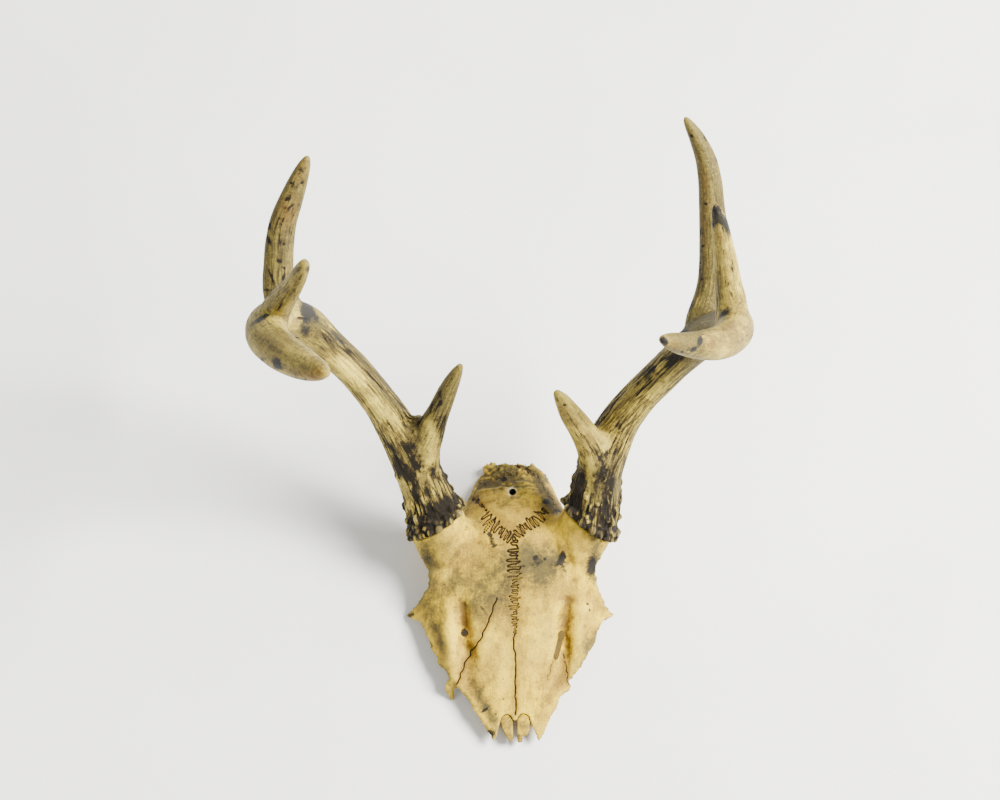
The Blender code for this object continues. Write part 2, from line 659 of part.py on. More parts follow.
def make_skull(parts, cutters):
    """Skull plate, hollow below, in its named bones."""
    pieces = [make_plate(parts),
              make_core("core", parts, CORE_WIDTH[0][0], CORE_WIDTH[-1][0])]
    for pedicle in (RIGHT_PEDICLE, LEFT_PEDICLE):
        pieces.append(loft("pedicle", [(x, y, z, d, d) for x, y, z, d in pedicle], parts, flat=True))
    pieces.append(loft("lacrimal", LACRIMAL, parts))
    skull = fuse("skull", pieces, SKULL_VOXEL, SMOOTHING)
    for first, last in (NOSE_HOLLOW, BRAIN_HOLLOW):
        cut(skull, make_core("hollow", cutters, first, last, WALL_THICKNESS,
                             ROOF_THICKNESS - CORE_CREST_DROP, SAW_BELOW))
    cut(skull, make_saw(cutters))
    cut(skull, make_notch(cutters))

    # The cuts leave slivers, so the skin is made anew before the finer ones
    skull = fuse("skull", [skull], SKULL_VOXEL, SECOND_SMOOTHING)
    thin(skull, SKULL_TRIANGLES)
    cut(skull, make_saw(cutters, SAW_TRUING))
    for antler in ANTLERS.values():
        cut(skull, make_seat(antler["burr"], cutters, above=True))
    for place in (HANGING_HOLE, RIGHT_FORAMEN, LEFT_FORAMEN):
        cut(skull, make_hole(place, cutters))
    cut(skull, make_slot(cutters))
    bones = part_bones(skull, cutters)
    for side, outline in (("right", RIGHT_STUB), ("left", LEFT_STUB)):
        bones["nasal_stub_" + side] = make_stub("nasal_stub_" + side, outline, parts)
    return bones


def part_bones(skull, cutters):
    """Part the plate along its sutures."""
    for path in (zigzag(CORONAL_PATH, *CORONAL_ZIGZAG), LAMBDOID_PATH, LACRIMAL_CUT):
        cut(skull, ribbon("suture", path, cutters))
    bones = part_loose(skull, BONE_MIDDLES)
    nose_end, straight_to, zigzag_to, end = MIDLINE
    half_tooth = MIDLINE_ZIGZAG[1] / 2
    midline = [(0, nose_end), (0, straight_to)]
    midline += zigzag([(0, straight_to + half_tooth), (0, zigzag_to)], *MIDLINE_ZIGZAG)
    midline += [(0, zigzag_to + half_tooth), (0, end)]
    frontal = bones.pop("frontal")
    cut(frontal, ribbon("midline", midline, cutters))
    bones.update(part_loose(frontal, FRONTAL_MIDDLES))
    return bones


def make_beads(name, place, group, draw):
    """Crown of beads round the foot of an antler, on the ring that they grow from."""
    centre, axis = (np.array(item, dtype=float) for item in place)
    axis = axis / np.linalg.norm(axis)
    side = np.cross(axis, (0, 0, 1))
    side = side / np.linalg.norm(side)
    up = np.cross(side, axis)
    pieces = [drum(name + "_ring", centre, axis, BURR_DIAMETER / 2 - RING_INSET, BURR_THICKNESS, group)]
    for index in range(BURR_BEADS):
        angle = (index + draw.uniform(-BEAD_STRAY, BEAD_STRAY)) * 2 * math.pi / BURR_BEADS
        radius = draw.uniform(*BEAD_RADIUS)
        reach = BURR_DIAMETER / 2 - radius + draw.uniform(*BEAD_REACH)
        spot = (centre + side * math.cos(angle) * reach + up * math.sin(angle) * reach
                + axis * draw.uniform(-BEAD_SHIFT, BEAD_SHIFT))
        pieces.append(ball(name + "_bead", spot, radius, group))
    return pieces


def make_pearls(name, place, beam, group, draw):
    """Pearls on the beam, set close above the burr and sparser and smaller further out."""
    path, _ = smooth_path(beam, FINE_STEPS)
    points = path[:, :3]
    _, sides, ups = ring_frames(points)
    lengths = np.concatenate([[0], np.cumsum(np.linalg.norm(np.diff(points, axis=0), axis=1))])
    foot = float(np.interp(place[0][1], points[:, 1], lengths))
    pieces = []
    for index in range(PEARLS):
        share = (index + draw.uniform(0, 1)) / PEARLS
        row = int(np.searchsorted(lengths, foot + PEARL_START + share * share * PEARL_REACH))
        angle = draw.uniform(0, 2 * math.pi)
        radius = PEARL_RADIUS[1] + (PEARL_RADIUS[0] - PEARL_RADIUS[1]) * share
        spot = (points[row] + sides[row] * math.cos(angle) * path[row, 3] / 2
                + ups[row] * math.sin(angle) * path[row, 4] / 2)
        pieces.append(ball(name + "_pearl", spot, radius, group))
    return pieces


def blade_across(stations, mark, group):
    """Thin disc square across a branch, at a place along its stations."""
    path, along = smooth_path(stations, FINE_STEPS)
    row = int(np.argmin(np.abs(along - mark)))
    axis = path[row + 1, :3] - path[row - 1, :3]
    radius = path[row, 3:5].max() / 2 * BLADE_SPREAD
    return drum("blade", path[row, :3], axis, radius, CUT_GAP, group, BLADE_SIDES)


def middle_of(stations, first, last):
    """Middle of the stretch of a branch between two places along its stations."""
    path, along = smooth_path(stations, FINE_STEPS)
    return path[(along >= first) & (along <= last), :3].mean(axis=0)


def make_antler(side, antler, parts, cutters):
    """One antler, fused from its branches and parted at its main forks."""
    name = "antler_" + side
    draw = np.random.default_rng(antler["seed"])
    pieces = [loft(name + "_" + kind, antler[kind], parts)
              for kind in ("beam", "brow", "second", "third")]
    pieces += make_beads(name, antler["burr"], parts, draw)
    pieces += make_pearls(name, antler["burr"], antler["beam"], parts, draw)
    whole = fuse(name, pieces, ANTLER_VOXEL, SMOOTHING)
    thin(whole, ANTLER_TRIANGLES)
    cut(whole, make_seat(antler["burr"], cutters, above=False))
    blades = [blade_across(antler[kind], antler[kind + "_cut"], cutters)
              for kind in ("brow", "second", "third")]
    blades += [blade_across(antler["beam"], mark, cutters) for mark in antler["beam_cuts"]]
    cut(whole, join("blades", blades))
    first, last = antler["beam_cuts"]
    middles = {name + "_base": middle_of(antler["beam"], 0, first),
               name + "_beam": middle_of(antler["beam"], first, last),
               name + "_beam_end": middle_of(antler["beam"], last, len(antler["beam"]))}
    for kind in ("brow", "second", "third"):
        tine = antler[kind]
        middles[name + "_" + kind + "_tine"] = middle_of(tine, antler[kind + "_cut"], len(tine))
    return part_loose(whole, middles)


def lay_level(nodes):
    """Carry every node on an empty that lays the saw cut level, centred over the origin."""
    rest = bpy.data.objects.new("rest", None)
    bpy.context.scene.collection.objects.link(rest)
    turn = Matrix.Rotation(-math.atan(SAW_SLOPE), 4, "X")
    places = np.array([turn @ vertex.co for node in nodes for vertex in node.data.vertices])
    low = places.min(axis=0)
    middle = (low + places.max(axis=0)) / 2
    rest.matrix_world = Matrix.Translation((-middle[0], -middle[1], -low[2])) @ turn
    for node in nodes:
        node.parent = rest


def dress(nodes, finish):
    """Give each node its own copy of a finish, and smooth shading."""
    for name, node in nodes.items():
        own = finish.copy()
        own.name = name
        node.data.materials.clear()
        node.data.materials.append(own)
        node.data.shade_smooth()


def main():
    clear_scene()
    parts = new_collection("deer_antlers_on_skull_plate")
    cutters = new_collection("cutters")
    bones = make_skull(parts, cutters)
    tines = {}
    for side, antler in ANTLERS.items():
        tines.update(make_antler(side, antler, parts, cutters))
    dress(bones, make_material("bone", BONE_COLOUR))
    dress(tines, make_material("antler", ANTLER_COLOUR))
    lay_level(list(bones.values()) + list(tines.values()))


main()
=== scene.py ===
"""Looks of a deer's skull plate with both antlers, lying on its saw cut on a pale floor.

Shapes are worked out in the skull's own frame, in millimetres: X towards the deer's left, Y from
the nose end to the nape, Z out of the forehead, towards the camera. The last step of each piece
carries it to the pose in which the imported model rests. Right and left are the deer's own.
Marks on the surface are placed by pixels of the photograph's 1000 x 800 frame.
"""

import logging
import math
from dataclasses import dataclass, field
from enum import Enum
from itertools import product
from typing import Any, Callable, Iterable, Sequence, Union

import bmesh
import bpy
import numpy as np
from mathutils import Matrix, Vector
from mathutils.kdtree import KDTree


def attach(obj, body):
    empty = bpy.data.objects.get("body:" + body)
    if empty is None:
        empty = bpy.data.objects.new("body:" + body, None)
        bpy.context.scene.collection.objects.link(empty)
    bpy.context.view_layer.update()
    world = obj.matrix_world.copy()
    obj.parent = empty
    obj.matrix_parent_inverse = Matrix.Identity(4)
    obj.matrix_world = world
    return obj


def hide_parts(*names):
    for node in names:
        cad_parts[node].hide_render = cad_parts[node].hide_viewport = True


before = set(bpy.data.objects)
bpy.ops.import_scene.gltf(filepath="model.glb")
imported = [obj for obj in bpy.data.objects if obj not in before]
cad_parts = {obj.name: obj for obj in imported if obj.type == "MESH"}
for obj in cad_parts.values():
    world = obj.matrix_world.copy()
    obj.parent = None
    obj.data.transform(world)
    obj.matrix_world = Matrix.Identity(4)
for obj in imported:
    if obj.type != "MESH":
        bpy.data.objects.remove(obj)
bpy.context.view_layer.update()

log = logging.getLogger("deer_antlers")

MM = 0.001
BURR_THICKNESS = 6.5

# The rest pose: the plate lies on its saw cut, whose slope tips the skull's frame
SAW_SLOPE = -0.467
REST_SHIFT = (7.97, -134.855, -2.265)
REST = (Matrix.Translation(Vector(REST_SHIFT) * MM)
        @ Matrix.Rotation(-math.atan(SAW_SLOPE), 4, "X"))

# The photograph: its middle on the forehead's level, the scale there, and the camera's distance
PHOTO_SIZE = (1000, 800)
PHOTO_MIDDLE = (-7.84, 189.3)
MM_PER_PIXEL = 0.56
CAMERA_DISTANCE = 1300.0
SENSOR_WIDTH = 36.0

Array = np.ndarray
Item = bpy.types.Object
Pair = tuple[float, float]
Triple = tuple[float, float, float]
Station = tuple[float, float, float, float, float]
Table = tuple[Pair, ...]
Seat = tuple[Triple, Triple]
Web = tuple[Triple, float, Triple, float]
Quad = tuple[float, float, float, float]
Colour = Quad


def lies(points: Array) -> tuple[Array, Array]:
    """Find where points of the skull's frame show in the photograph.

    Args:
        points: Places in millimetres, one row each.

    Returns:
        Columns and rows in pixels of the photograph.
    """
    shrink = (1 - points[:, 2] / CAMERA_DISTANCE) * MM_PER_PIXEL
    across = PHOTO_SIZE[0] / 2 + (points[:, 0] - PHOTO_MIDDLE[0]) / shrink
    down = PHOTO_SIZE[1] / 2 - (points[:, 1] - PHOTO_MIDDLE[1]) / shrink
    return across, down


def from_photo(across: float, down: float) -> Pair:
    """Carry a column and row of the photograph to X and Y, at the height of the frame's zero."""
    return (PHOTO_MIDDLE[0] + (across - PHOTO_SIZE[0] / 2) * MM_PER_PIXEL,
            PHOTO_MIDDLE[1] - (down - PHOTO_SIZE[1] / 2) * MM_PER_PIXEL)


def step(low: float, high: float, value: Array) -> Array:
    """Rise smoothly from 0 at low to 1 at high."""
    share = np.clip((value - low) / (high - low), 0, 1)
    return share * share * (3 - 2 * share)


def bell(distance: Array, reach: float) -> Array:
    """Smooth hump, 1 at no distance and nearly gone at twice its reach."""
    return np.exp(-(distance / reach) ** 2)


def read(table: Table, places: Array) -> Array:
    """Read a table of (place, value) at many places, straight between its rows."""
    rows = np.array(table, dtype=float)
    return np.interp(places, rows[:, 0], rows[:, 1])


def eased(table: Table, y: Array) -> Array:
    """Read a table of (place, value) along a smooth curve that doesn't overshoot.

    Args:
        table: Places in rising order, each with its value.
        y: Where to read it.

    Returns:
        The curve's value at each place.
    """
    rows = np.array(table, dtype=float)
    steps = np.diff(rows[:, 0])
    slopes = np.diff(rows[:, 1]) / steps
    turning = slopes[1:] * slopes[:-1] <= 0
    total = np.where(turning, 1.0, slopes[1:] + slopes[:-1])
    inner = np.where(turning, 0.0, 2 * slopes[1:] * slopes[:-1] / total)
    tangents = np.concatenate([[slopes[0]], inner, [slopes[-1]]])
    y = np.clip(y, rows[0, 0], rows[-1, 0])
    index = np.clip(np.searchsorted(rows[:, 0], y, side="right") - 1, 0, len(steps) - 1)
    t = (y - rows[index, 0]) / steps[index]
    return (rows[index, 1] * (1 + 2 * t) * (1 - t) ** 2
            + tangents[index] * steps[index] * t * (1 - t) ** 2
            + rows[index + 1, 1] * t * t * (3 - 2 * t)
            + tangents[index + 1] * steps[index] * t * t * (t - 1))


def tree_of(points: Iterable[Sequence[float]]) -> KDTree:
    """Make a search tree over points."""
    points = list(points)
    tree = KDTree(len(points))
    for index, point in enumerate(points):
        tree.insert(point, index)
    tree.balance()
    return tree


class Noise:
    """Smooth gradient noise in three dimensions, the same on every run."""

    CELLS = 256
    GAIN = 1.55
    LAYER_SHIFT = 17.3

    def __init__(self, seed: int) -> None:
        """Draw the lattice's directions.

        Args:
            seed: Seed of the random draw.
        """
        draw = np.random.default_rng(seed)
        self.order = draw.permutation(self.CELLS)
        directions = draw.normal(size=(self.CELLS, 3))
        self.directions = directions / np.linalg.norm(directions, axis=1)[:, None]

    def at(self, points: Array) -> Array:
        """Read the noise, from about -1 to 1, at points whose lattice cells are 1 wide."""
        cell = np.floor(points).astype(int)
        local = points - cell
        fade = local ** 3 * (local * (local * 6 - 15) + 10)
        total = np.zeros(len(points))
        for corner in product((0, 1), repeat=3):
            spot = (cell + corner) % self.CELLS
            entry = self.order[spot[:, 0]]
            entry = self.order[(entry + spot[:, 1]) % self.CELLS]
            entry = self.order[(entry + spot[:, 2]) % self.CELLS]
            pull = (self.directions[entry] * (local - corner)).sum(axis=1)
            total += pull * np.where(corner, fade, 1 - fade).prod(axis=1)
        return total * self.GAIN

    def layered(self, points: Array, layers: int) -> Array:
        """Add finer layers of the noise, each half as strong as the last."""
        total = np.zeros(len(points))
        for layer in range(layers):
            total += self.at(points * 2 ** layer + layer * self.LAYER_SHIFT) / 2 ** layer
        return total


@dataclass(frozen=True)
class Mark:
    """A stain, speck or pale patch, or a patch of painted shade, shadow or highlight, placed by the
    photograph.

    Its kind is dark, ink, dirt, olive, ochre, pale or pit; some dark, ink, dirt and ochre marks are
    painted shade or shadow, and some pale marks are painted highlight. Its middle, half length and
    half width are in pixels, and its turn in degrees up from the picture's right.
    """

    kind: str
    on: str
    across: float
    down: float
    length: float
    width: float
    turn: float = 0.0
    strength: float = 0.5

    EDGE = (0.1, 1.5)
    INK_RAGGEDNESS = 0.2
    RAGGEDNESS = 0.4

    def lay(self, shown: "Shown", given: dict[str, Array]) -> None:
        """Add the mark to the points that it covers.

        Args:
            shown: Where the points show in the photograph.
            given: Strength of each kind of mark at each point.
        """
        far = np.hypot(shown.columns - self.across, shown.rows - self.down)
        close = np.flatnonzero((shown.where == self.on) & (shown.facing > 0)
                               & (far < 2 * max(self.length, self.width)))
        ragged = self.INK_RAGGEDNESS if self.kind == "ink" else self.RAGGEDNESS
        given[self.kind][close] += shown.facing[close] * self.cover(
            shown.columns[close], shown.rows[close], ragged * shown.ragged[close])

    def cover(self, columns: Array, rows: Array, ragged: Array) -> Array:
        """Give the mark's strength at many places.

        Args:
            columns: Columns of the places in the photograph.
            rows: Rows of the places.
            ragged: What roughens its edge.

        Returns:
            Its strength at each place.
        """
        turn = math.radians(self.turn)
        right = columns - self.across
        up = self.down - rows
        along = (right * math.cos(turn) + up * math.sin(turn)) / self.length
        beside = (up * math.cos(turn) - right * math.sin(turn)) / self.width
        return self.strength * (1 - step(*self.EDGE, np.hypot(along, beside) + ragged))


def grouped(table: dict[str, Sequence[Sequence[float]]]) -> list[Mark]:
    """Read marks that are listed under their kind and the stretches that carry them."""
    return [Mark(key.split()[0], stretch, *row) for key, rows in table.items()
            for stretch in key.split()[1:] for row in rows]


@dataclass(frozen=True)
class Shown:
    """Where the points of a surface show in the photograph.

    Facing is 1 towards the camera, where names each point's stretch of antler or bone, and ragged
    is the noise of the marks' edges.
    """

    columns: Array
    rows: Array
    facing: Array
    where: Array
    ragged: Array

    def marked(self, marks: Sequence[Mark], kinds: Sequence[str]) -> dict[str, Array]:
        """Lay marks on the points.

        Args:
            marks: The marks.
            kinds: The kinds of mark that are asked for.

        Returns:
            Strength of each kind at each point.
        """
        given = {kind: np.zeros(len(self.rows)) for kind in kinds}
        for mark in marks:
            mark.lay(self, given)
        return given


class Skin:
    """A closed mesh held as arrays, so that its surface can be worked in numbers."""

    def __init__(self, item: Item) -> None:
        """Read an object's mesh."""
        self.item = item
        self.refresh()

    @staticmethod
    def rows(source: Any, key: str, width: int, kind: type = float) -> Array:
        """Read rows of numbers from one of a mesh's lists."""
        values = np.empty(len(source) * width, dtype=kind)
        source.foreach_get(key, values)
        return values.reshape(-1, width)

    def refresh(self) -> None:
        """Read places, normals and edges from the mesh."""
        mesh = self.item.data
        self.places = self.rows(mesh.vertices, "co", 3) / MM
        self.normals = self.rows(mesh.vertex_normals, "vector", 3)
        self.edges = self.rows(mesh.edges, "vertices", 2, np.int64)

    def move(self, places: Array) -> None:
        """Put the mesh's points at new places, in millimetres."""
        self.item.data.vertices.foreach_set("co", np.ascontiguousarray(places * MM).ravel())
        self.item.data.update()
        self.refresh()

    def raise_by(self, height: Array) -> None:
        """Move each point out along its normal by a height in millimetres."""
        self.move(self.places + self.normals * height[:, None])

    def fill(self, share: Array, rounds: int) -> None:
        """Raise a share of each point's depth below its surroundings."""
        self.raise_by(share * np.clip(self.cavity(rounds), 0, None))

    def relaxed(self, values: Array, rounds: int) -> Array:
        """Spread values over the mesh.

        Args:
            values: One row for each point.
            rounds: How many times each point takes the mean of its neighbours.

        Returns:
            The spread values.
        """
        count = len(self.places)
        ends = np.concatenate([self.edges[:, 0], self.edges[:, 1]])
        others = np.concatenate([self.edges[:, 1], self.edges[:, 0]])
        degree = np.maximum(np.bincount(ends, minlength=count), 1)
        spread = np.array(values, dtype=float).reshape(count, -1)
        for _ in range(rounds):
            columns = [np.bincount(ends, weights=spread[others, axis], minlength=count) / degree
                       for axis in range(spread.shape[1])]
            spread = 0.5 * spread + 0.5 * np.stack(columns, axis=1)
        return spread.reshape(np.shape(values))

    def cavity(self, rounds: int) -> Array:
        """Depth in millimetres of each point below its surroundings; ridges are negative."""
        gap = self.relaxed(self.places, rounds) - self.places
        return (gap * self.normals).sum(axis=1)

    def keep(self, name: str, values: Array) -> None:
        """Store one number, or one row of three, for each point under a name for the shader."""
        mesh = self.item.data
        if values.ndim == 1:
            layer = mesh.attributes.new(name, "FLOAT", "POINT")
            layer.data.foreach_set("value", values.astype(np.float32))
        else:
            layer = mesh.attributes.new(name, "FLOAT_VECTOR", "POINT")
            layer.data.foreach_set("vector", values.astype(np.float32).ravel())

    def keep_shares(self, shares: dict[str, Array]) -> None:
        """Store numbers by name, each held between 0 and 1."""
        for name, values in shares.items():
            self.keep(name, np.clip(values, 0, 1))


class Workshop:
    """Ways of making, joining and cutting closed meshes."""

    RING_POINTS = 32
    STEPS = 8
    TIP_ROUNDNESS = 0.45
    ARC_POINTS = 13
    DRUM_POINTS = 48
    BALL_SPLITS = 3
    THROUGH = (-110.0, 60.0)

    @staticmethod
    def place(name: str, build: bmesh.types.BMesh) -> Item:
        """Turn a finished bmesh into an object of the scene."""
        mesh = bpy.data.meshes.new(name)
        build.to_mesh(mesh)
        build.free()
        item = bpy.data.objects.new(name, mesh)
        bpy.context.scene.collection.objects.link(item)
        return item

    @staticmethod
    def settle(item: Item) -> None:
        """Replace an object's mesh by what its modifiers make of it."""
        graph = bpy.context.evaluated_depsgraph_get()
        made = bpy.data.meshes.new_from_object(item.evaluated_get(graph))
        item.modifiers.clear()
        item.data = made

    @staticmethod
    def join(name: str, items: Sequence[Item]) -> Item:
        """Make one object of several; their meshes stay as they are."""
        bpy.ops.object.select_all(action="DESELECT")
        for item in items:
            item.select_set(True)
        bpy.context.view_layer.objects.active = items[0]
        if len(items) > 1:
            bpy.ops.object.join()
        items[0].name = name
        return items[0]

    @classmethod
    def fuse(cls, item: Item, voxel: float, smoothing: int) -> None:
        """Fuse an object's closed pieces into one skin, and round its joints.

        Args:
            item: Object of several closed pieces.
            voxel: Size of the new mesh's faces.
            smoothing: Rounds of smoothing.
        """
        remesh = item.modifiers.new("fuse", "REMESH")
        remesh.mode = "VOXEL"
        remesh.voxel_size = voxel * MM
        remesh.adaptivity = 0.0
        rounding = item.modifiers.new("round", "SMOOTH")
        rounding.factor = 0.5
        rounding.iterations = smoothing
        cls.settle(item)

    @classmethod
    def cut(cls, item: Item, cutter: Item) -> None:
        """Take a closed cutter out of an object, and remove the cutter."""
        knife = item.modifiers.new("cut", "BOOLEAN")
        knife.operation = "DIFFERENCE"
        knife.object = cutter
        cls.settle(item)
        bpy.data.objects.remove(cutter, do_unlink=True)

    @staticmethod
    def bridge(build: bmesh.types.BMesh, rings: Sequence[Sequence[Any]]) -> None:
        """Join each ring of points to the next with four-sided faces."""
        count = len(rings[0])
        for near, far in zip(rings, rings[1:]):
            for index in range(count):
                after = (index + 1) % count
                build.faces.new((near[index], near[after], far[after], far[index]))

    @classmethod
    def ball(cls, centre: Sequence[float], radius: float, stretch: Matrix) -> Item:
        """Make a ball, drawn out by a matrix about its centre.

        Args:
            centre: Its middle.
            radius: Its radius.
            stretch: What it is turned and drawn out by.

        Returns:
            The ball.
        """
        build = bmesh.new()
        bmesh.ops.create_icosphere(build, subdivisions=cls.BALL_SPLITS, radius=radius * MM)
        build.transform(Matrix.Translation(Vector(centre) * MM) @ stretch)
        return cls.place("ball", build)

    @classmethod
    def drum(cls, centre: Sequence[float], axis: Sequence[float], radius: float,
             length: float) -> Item:
        """Make a closed cylinder.

        Args:
            centre: Its middle.
            axis: The way its length runs.
            radius: Its radius.
            length: Its length.

        Returns:
            The cylinder.
        """
        build = bmesh.new()
        bmesh.ops.create_cone(build, cap_ends=True, segments=cls.DRUM_POINTS,
                              radius1=radius * MM, radius2=radius * MM, depth=length * MM)
        turn = Vector((0, 0, 1)).rotation_difference(Vector(axis)).to_matrix().to_4x4()
        build.transform(Matrix.Translation(Vector(centre) * MM) @ turn)
        return cls.place("drum", build)

    @classmethod
    def prism(cls, outline: Sequence[Pair], low: float = THROUGH[0],
              high: float = THROUGH[1]) -> Item:
        """Give a flat outline in X and Y height from low to high."""
        build = bmesh.new()
        face = build.faces.new([build.verts.new(Vector((x, y, low)) * MM) for x, y in outline])
        made = bmesh.ops.extrude_face_region(build, geom=[face])
        raised = [part for part in made["geom"] if isinstance(part, bmesh.types.BMVert)]
        bmesh.ops.translate(build, vec=Vector((0, 0, (high - low) * MM)), verts=raised)
        bmesh.ops.recalc_face_normals(build, faces=build.faces)
        return cls.place("prism", build)

    @classmethod
    def arc(cls, centre: Sequence[float], radius: float, first: float,
            last: float) -> list[Pair]:
        """Points on a round stretch of an outline, between two angles in degrees."""
        turns = np.radians(np.linspace(first, last, cls.ARC_POINTS))
        return [(centre[0] + radius * math.cos(turn), centre[1] + radius * math.sin(turn))
                for turn in turns]

    @staticmethod
    def lay(item: Item) -> None:
        """Carry a finished piece from the skull's frame to its pose of rest."""
        item.data.transform(REST)
        item.data.update()


@dataclass(frozen=True)
class Spot:
    """Where points lie along and round a branch.

    Ratio is the distance from its axis as a share of its radius, and along counts its stations.
    """

    ratio: Array
    angle: Array
    along: Array
    run: Array
    radius: Array

    def grain(self) -> Array:
        """Places on the surface as if the branch were straight: round it twice, and along."""
        return np.stack([np.cos(self.angle) * self.radius, np.sin(self.angle) * self.radius,
                         self.run], axis=1)


@dataclass
class Branch:
    """A beam or tine: a tapering tube through stations of x, y, z, width and depth.

    The tables give its roughness, its stained share and how olive-brown its ground is, from 0 to
    1 along the stations.
    """

    stations: tuple[Station, ...]
    relief: Table = ()
    stain: Table = ()
    olive: Table = ()
    path: Array = field(init=False)
    along: Array = field(init=False)

    def __post_init__(self) -> None:
        """Work out the curve through the stations, and the directions across it."""
        rows = np.array(self.stations, dtype=float)
        padded = np.vstack([2 * rows[0] - rows[1], rows, 2 * rows[-1] - rows[-2]])
        path, along = [], []
        for index in range(len(rows) - 1):
            p0, p1, p2, p3 = padded[index:index + 4]
            for part in range(Workshop.STEPS):
                t = part / Workshop.STEPS
                path.append(0.5 * (2 * p1 + (p2 - p0) * t + (2 * p0 - 5 * p1 + 4 * p2 - p3) * t ** 2
                                   + (3 * p1 - p0 - 3 * p2 + p3) * t ** 3))
                along.append(index + t)
        self.path = np.vstack([path, rows[-1:]])
        self.along = np.append(along, len(rows) - 1.0)
        self.centres = self.path[:, :3]
        tangents = np.gradient(self.centres, axis=0)
        self.tangents = tangents / np.linalg.norm(tangents, axis=1)[:, None]
        side = np.array((1.0, 0.0, 0.0))
        sides = []
        for tangent in self.tangents:
            side = side - tangent * side.dot(tangent)
            side = side / np.linalg.norm(side)
            sides.append(side)
        self.sides = np.array(sides)
        self.ups = np.cross(self.tangents, self.sides)
        gaps = np.linalg.norm(np.diff(self.centres, axis=0), axis=1)
        self.runs = np.concatenate([[0], np.cumsum(gaps)])

    def tube(self) -> Item:
        """Make the branch as a closed tube with a round tip."""
        angles = np.arange(Workshop.RING_POINTS) * 2 * math.pi / Workshop.RING_POINTS
        build = bmesh.new()
        rings = []
        for centre, side, up, size in zip(self.centres, self.sides, self.ups, self.path[:, 3:5]):
            ring = [centre + side * math.cos(a) * size[0] / 2 + up * math.sin(a) * size[1] / 2
                    for a in angles]
            rings.append([build.verts.new(point * MM) for point in ring])
        Workshop.bridge(build, rings)
        reach = self.path[-1, 3] * Workshop.TIP_ROUNDNESS
        tip = build.verts.new((self.centres[-1] + self.tangents[-1] * reach) * MM)
        for index in range(len(angles)):
            build.faces.new((rings[-1][index], rings[-1][(index + 1) % len(angles)], tip))
        build.faces.new(list(reversed(rings[0])))
        return Workshop.place("branch", build)

    def locate(self, points: Array) -> Spot:
        """Find where points lie along and round the branch.

        Args:
            points: The places.

        Returns:
            Their places on it.
        """
        tree = tree_of(self.centres)
        rows = np.array([tree.find(point)[1] for point in points])
        offset = points - self.centres[rows]
        half = self.path[rows, 3:5] / 2
        right = (offset * self.sides[rows]).sum(axis=1) / half[:, 0]
        up = (offset * self.ups[rows]).sum(axis=1) / half[:, 1]
        ahead = (offset * self.tangents[rows]).sum(axis=1)
        past = np.where(rows == len(self.centres) - 1, np.clip(ahead, 0, None),
                        np.where(rows == 0, np.clip(-ahead, 0, None), 0))
        radius = half.mean(axis=1)
        return Spot(np.hypot(np.hypot(right, up), past / radius), np.arctan2(up, right),
                    self.along[rows], self.runs[rows] + ahead, radius)


@dataclass(frozen=True)
class Grain:
    """Noise drawn out along a branch.

    Across and along are the size of its cells, and depth is how deep it cuts into rough antler.
    Line is the half width of the lines it is drawn as, or 0 for its plain value.
    """

    seed: int
    across: float
    along: float
    layers: int
    depth: float
    line: float = 0.0

    def at(self, laid: Array, seed: int) -> Array:
        """Read it.

        Args:
            laid: Places on the straightened branch.
            seed: The branch's seed.

        Returns:
            Its value at each place.
        """
        cells = (1 / self.across, 1 / self.across, 1 / self.along)
        noise = Noise(seed + self.seed).layered(laid * cells, self.layers)
        return np.clip(1 - np.abs(noise) / self.line, 0, 1) if self.line else noise


GRAINS = {"flute": Grain(0, 6.5, 60, 1, -0.55), "furrow": Grain(1, 4.2, 44, 2, 0.75, 0.16),
          "streak": Grain(2, 3.6, 26, 3, 0.0), "fine": Grain(3, 1.5, 14, 2, 0.25),
          "rib": Grain(4, 2.2, 34, 2, 0.22, 0.22)}


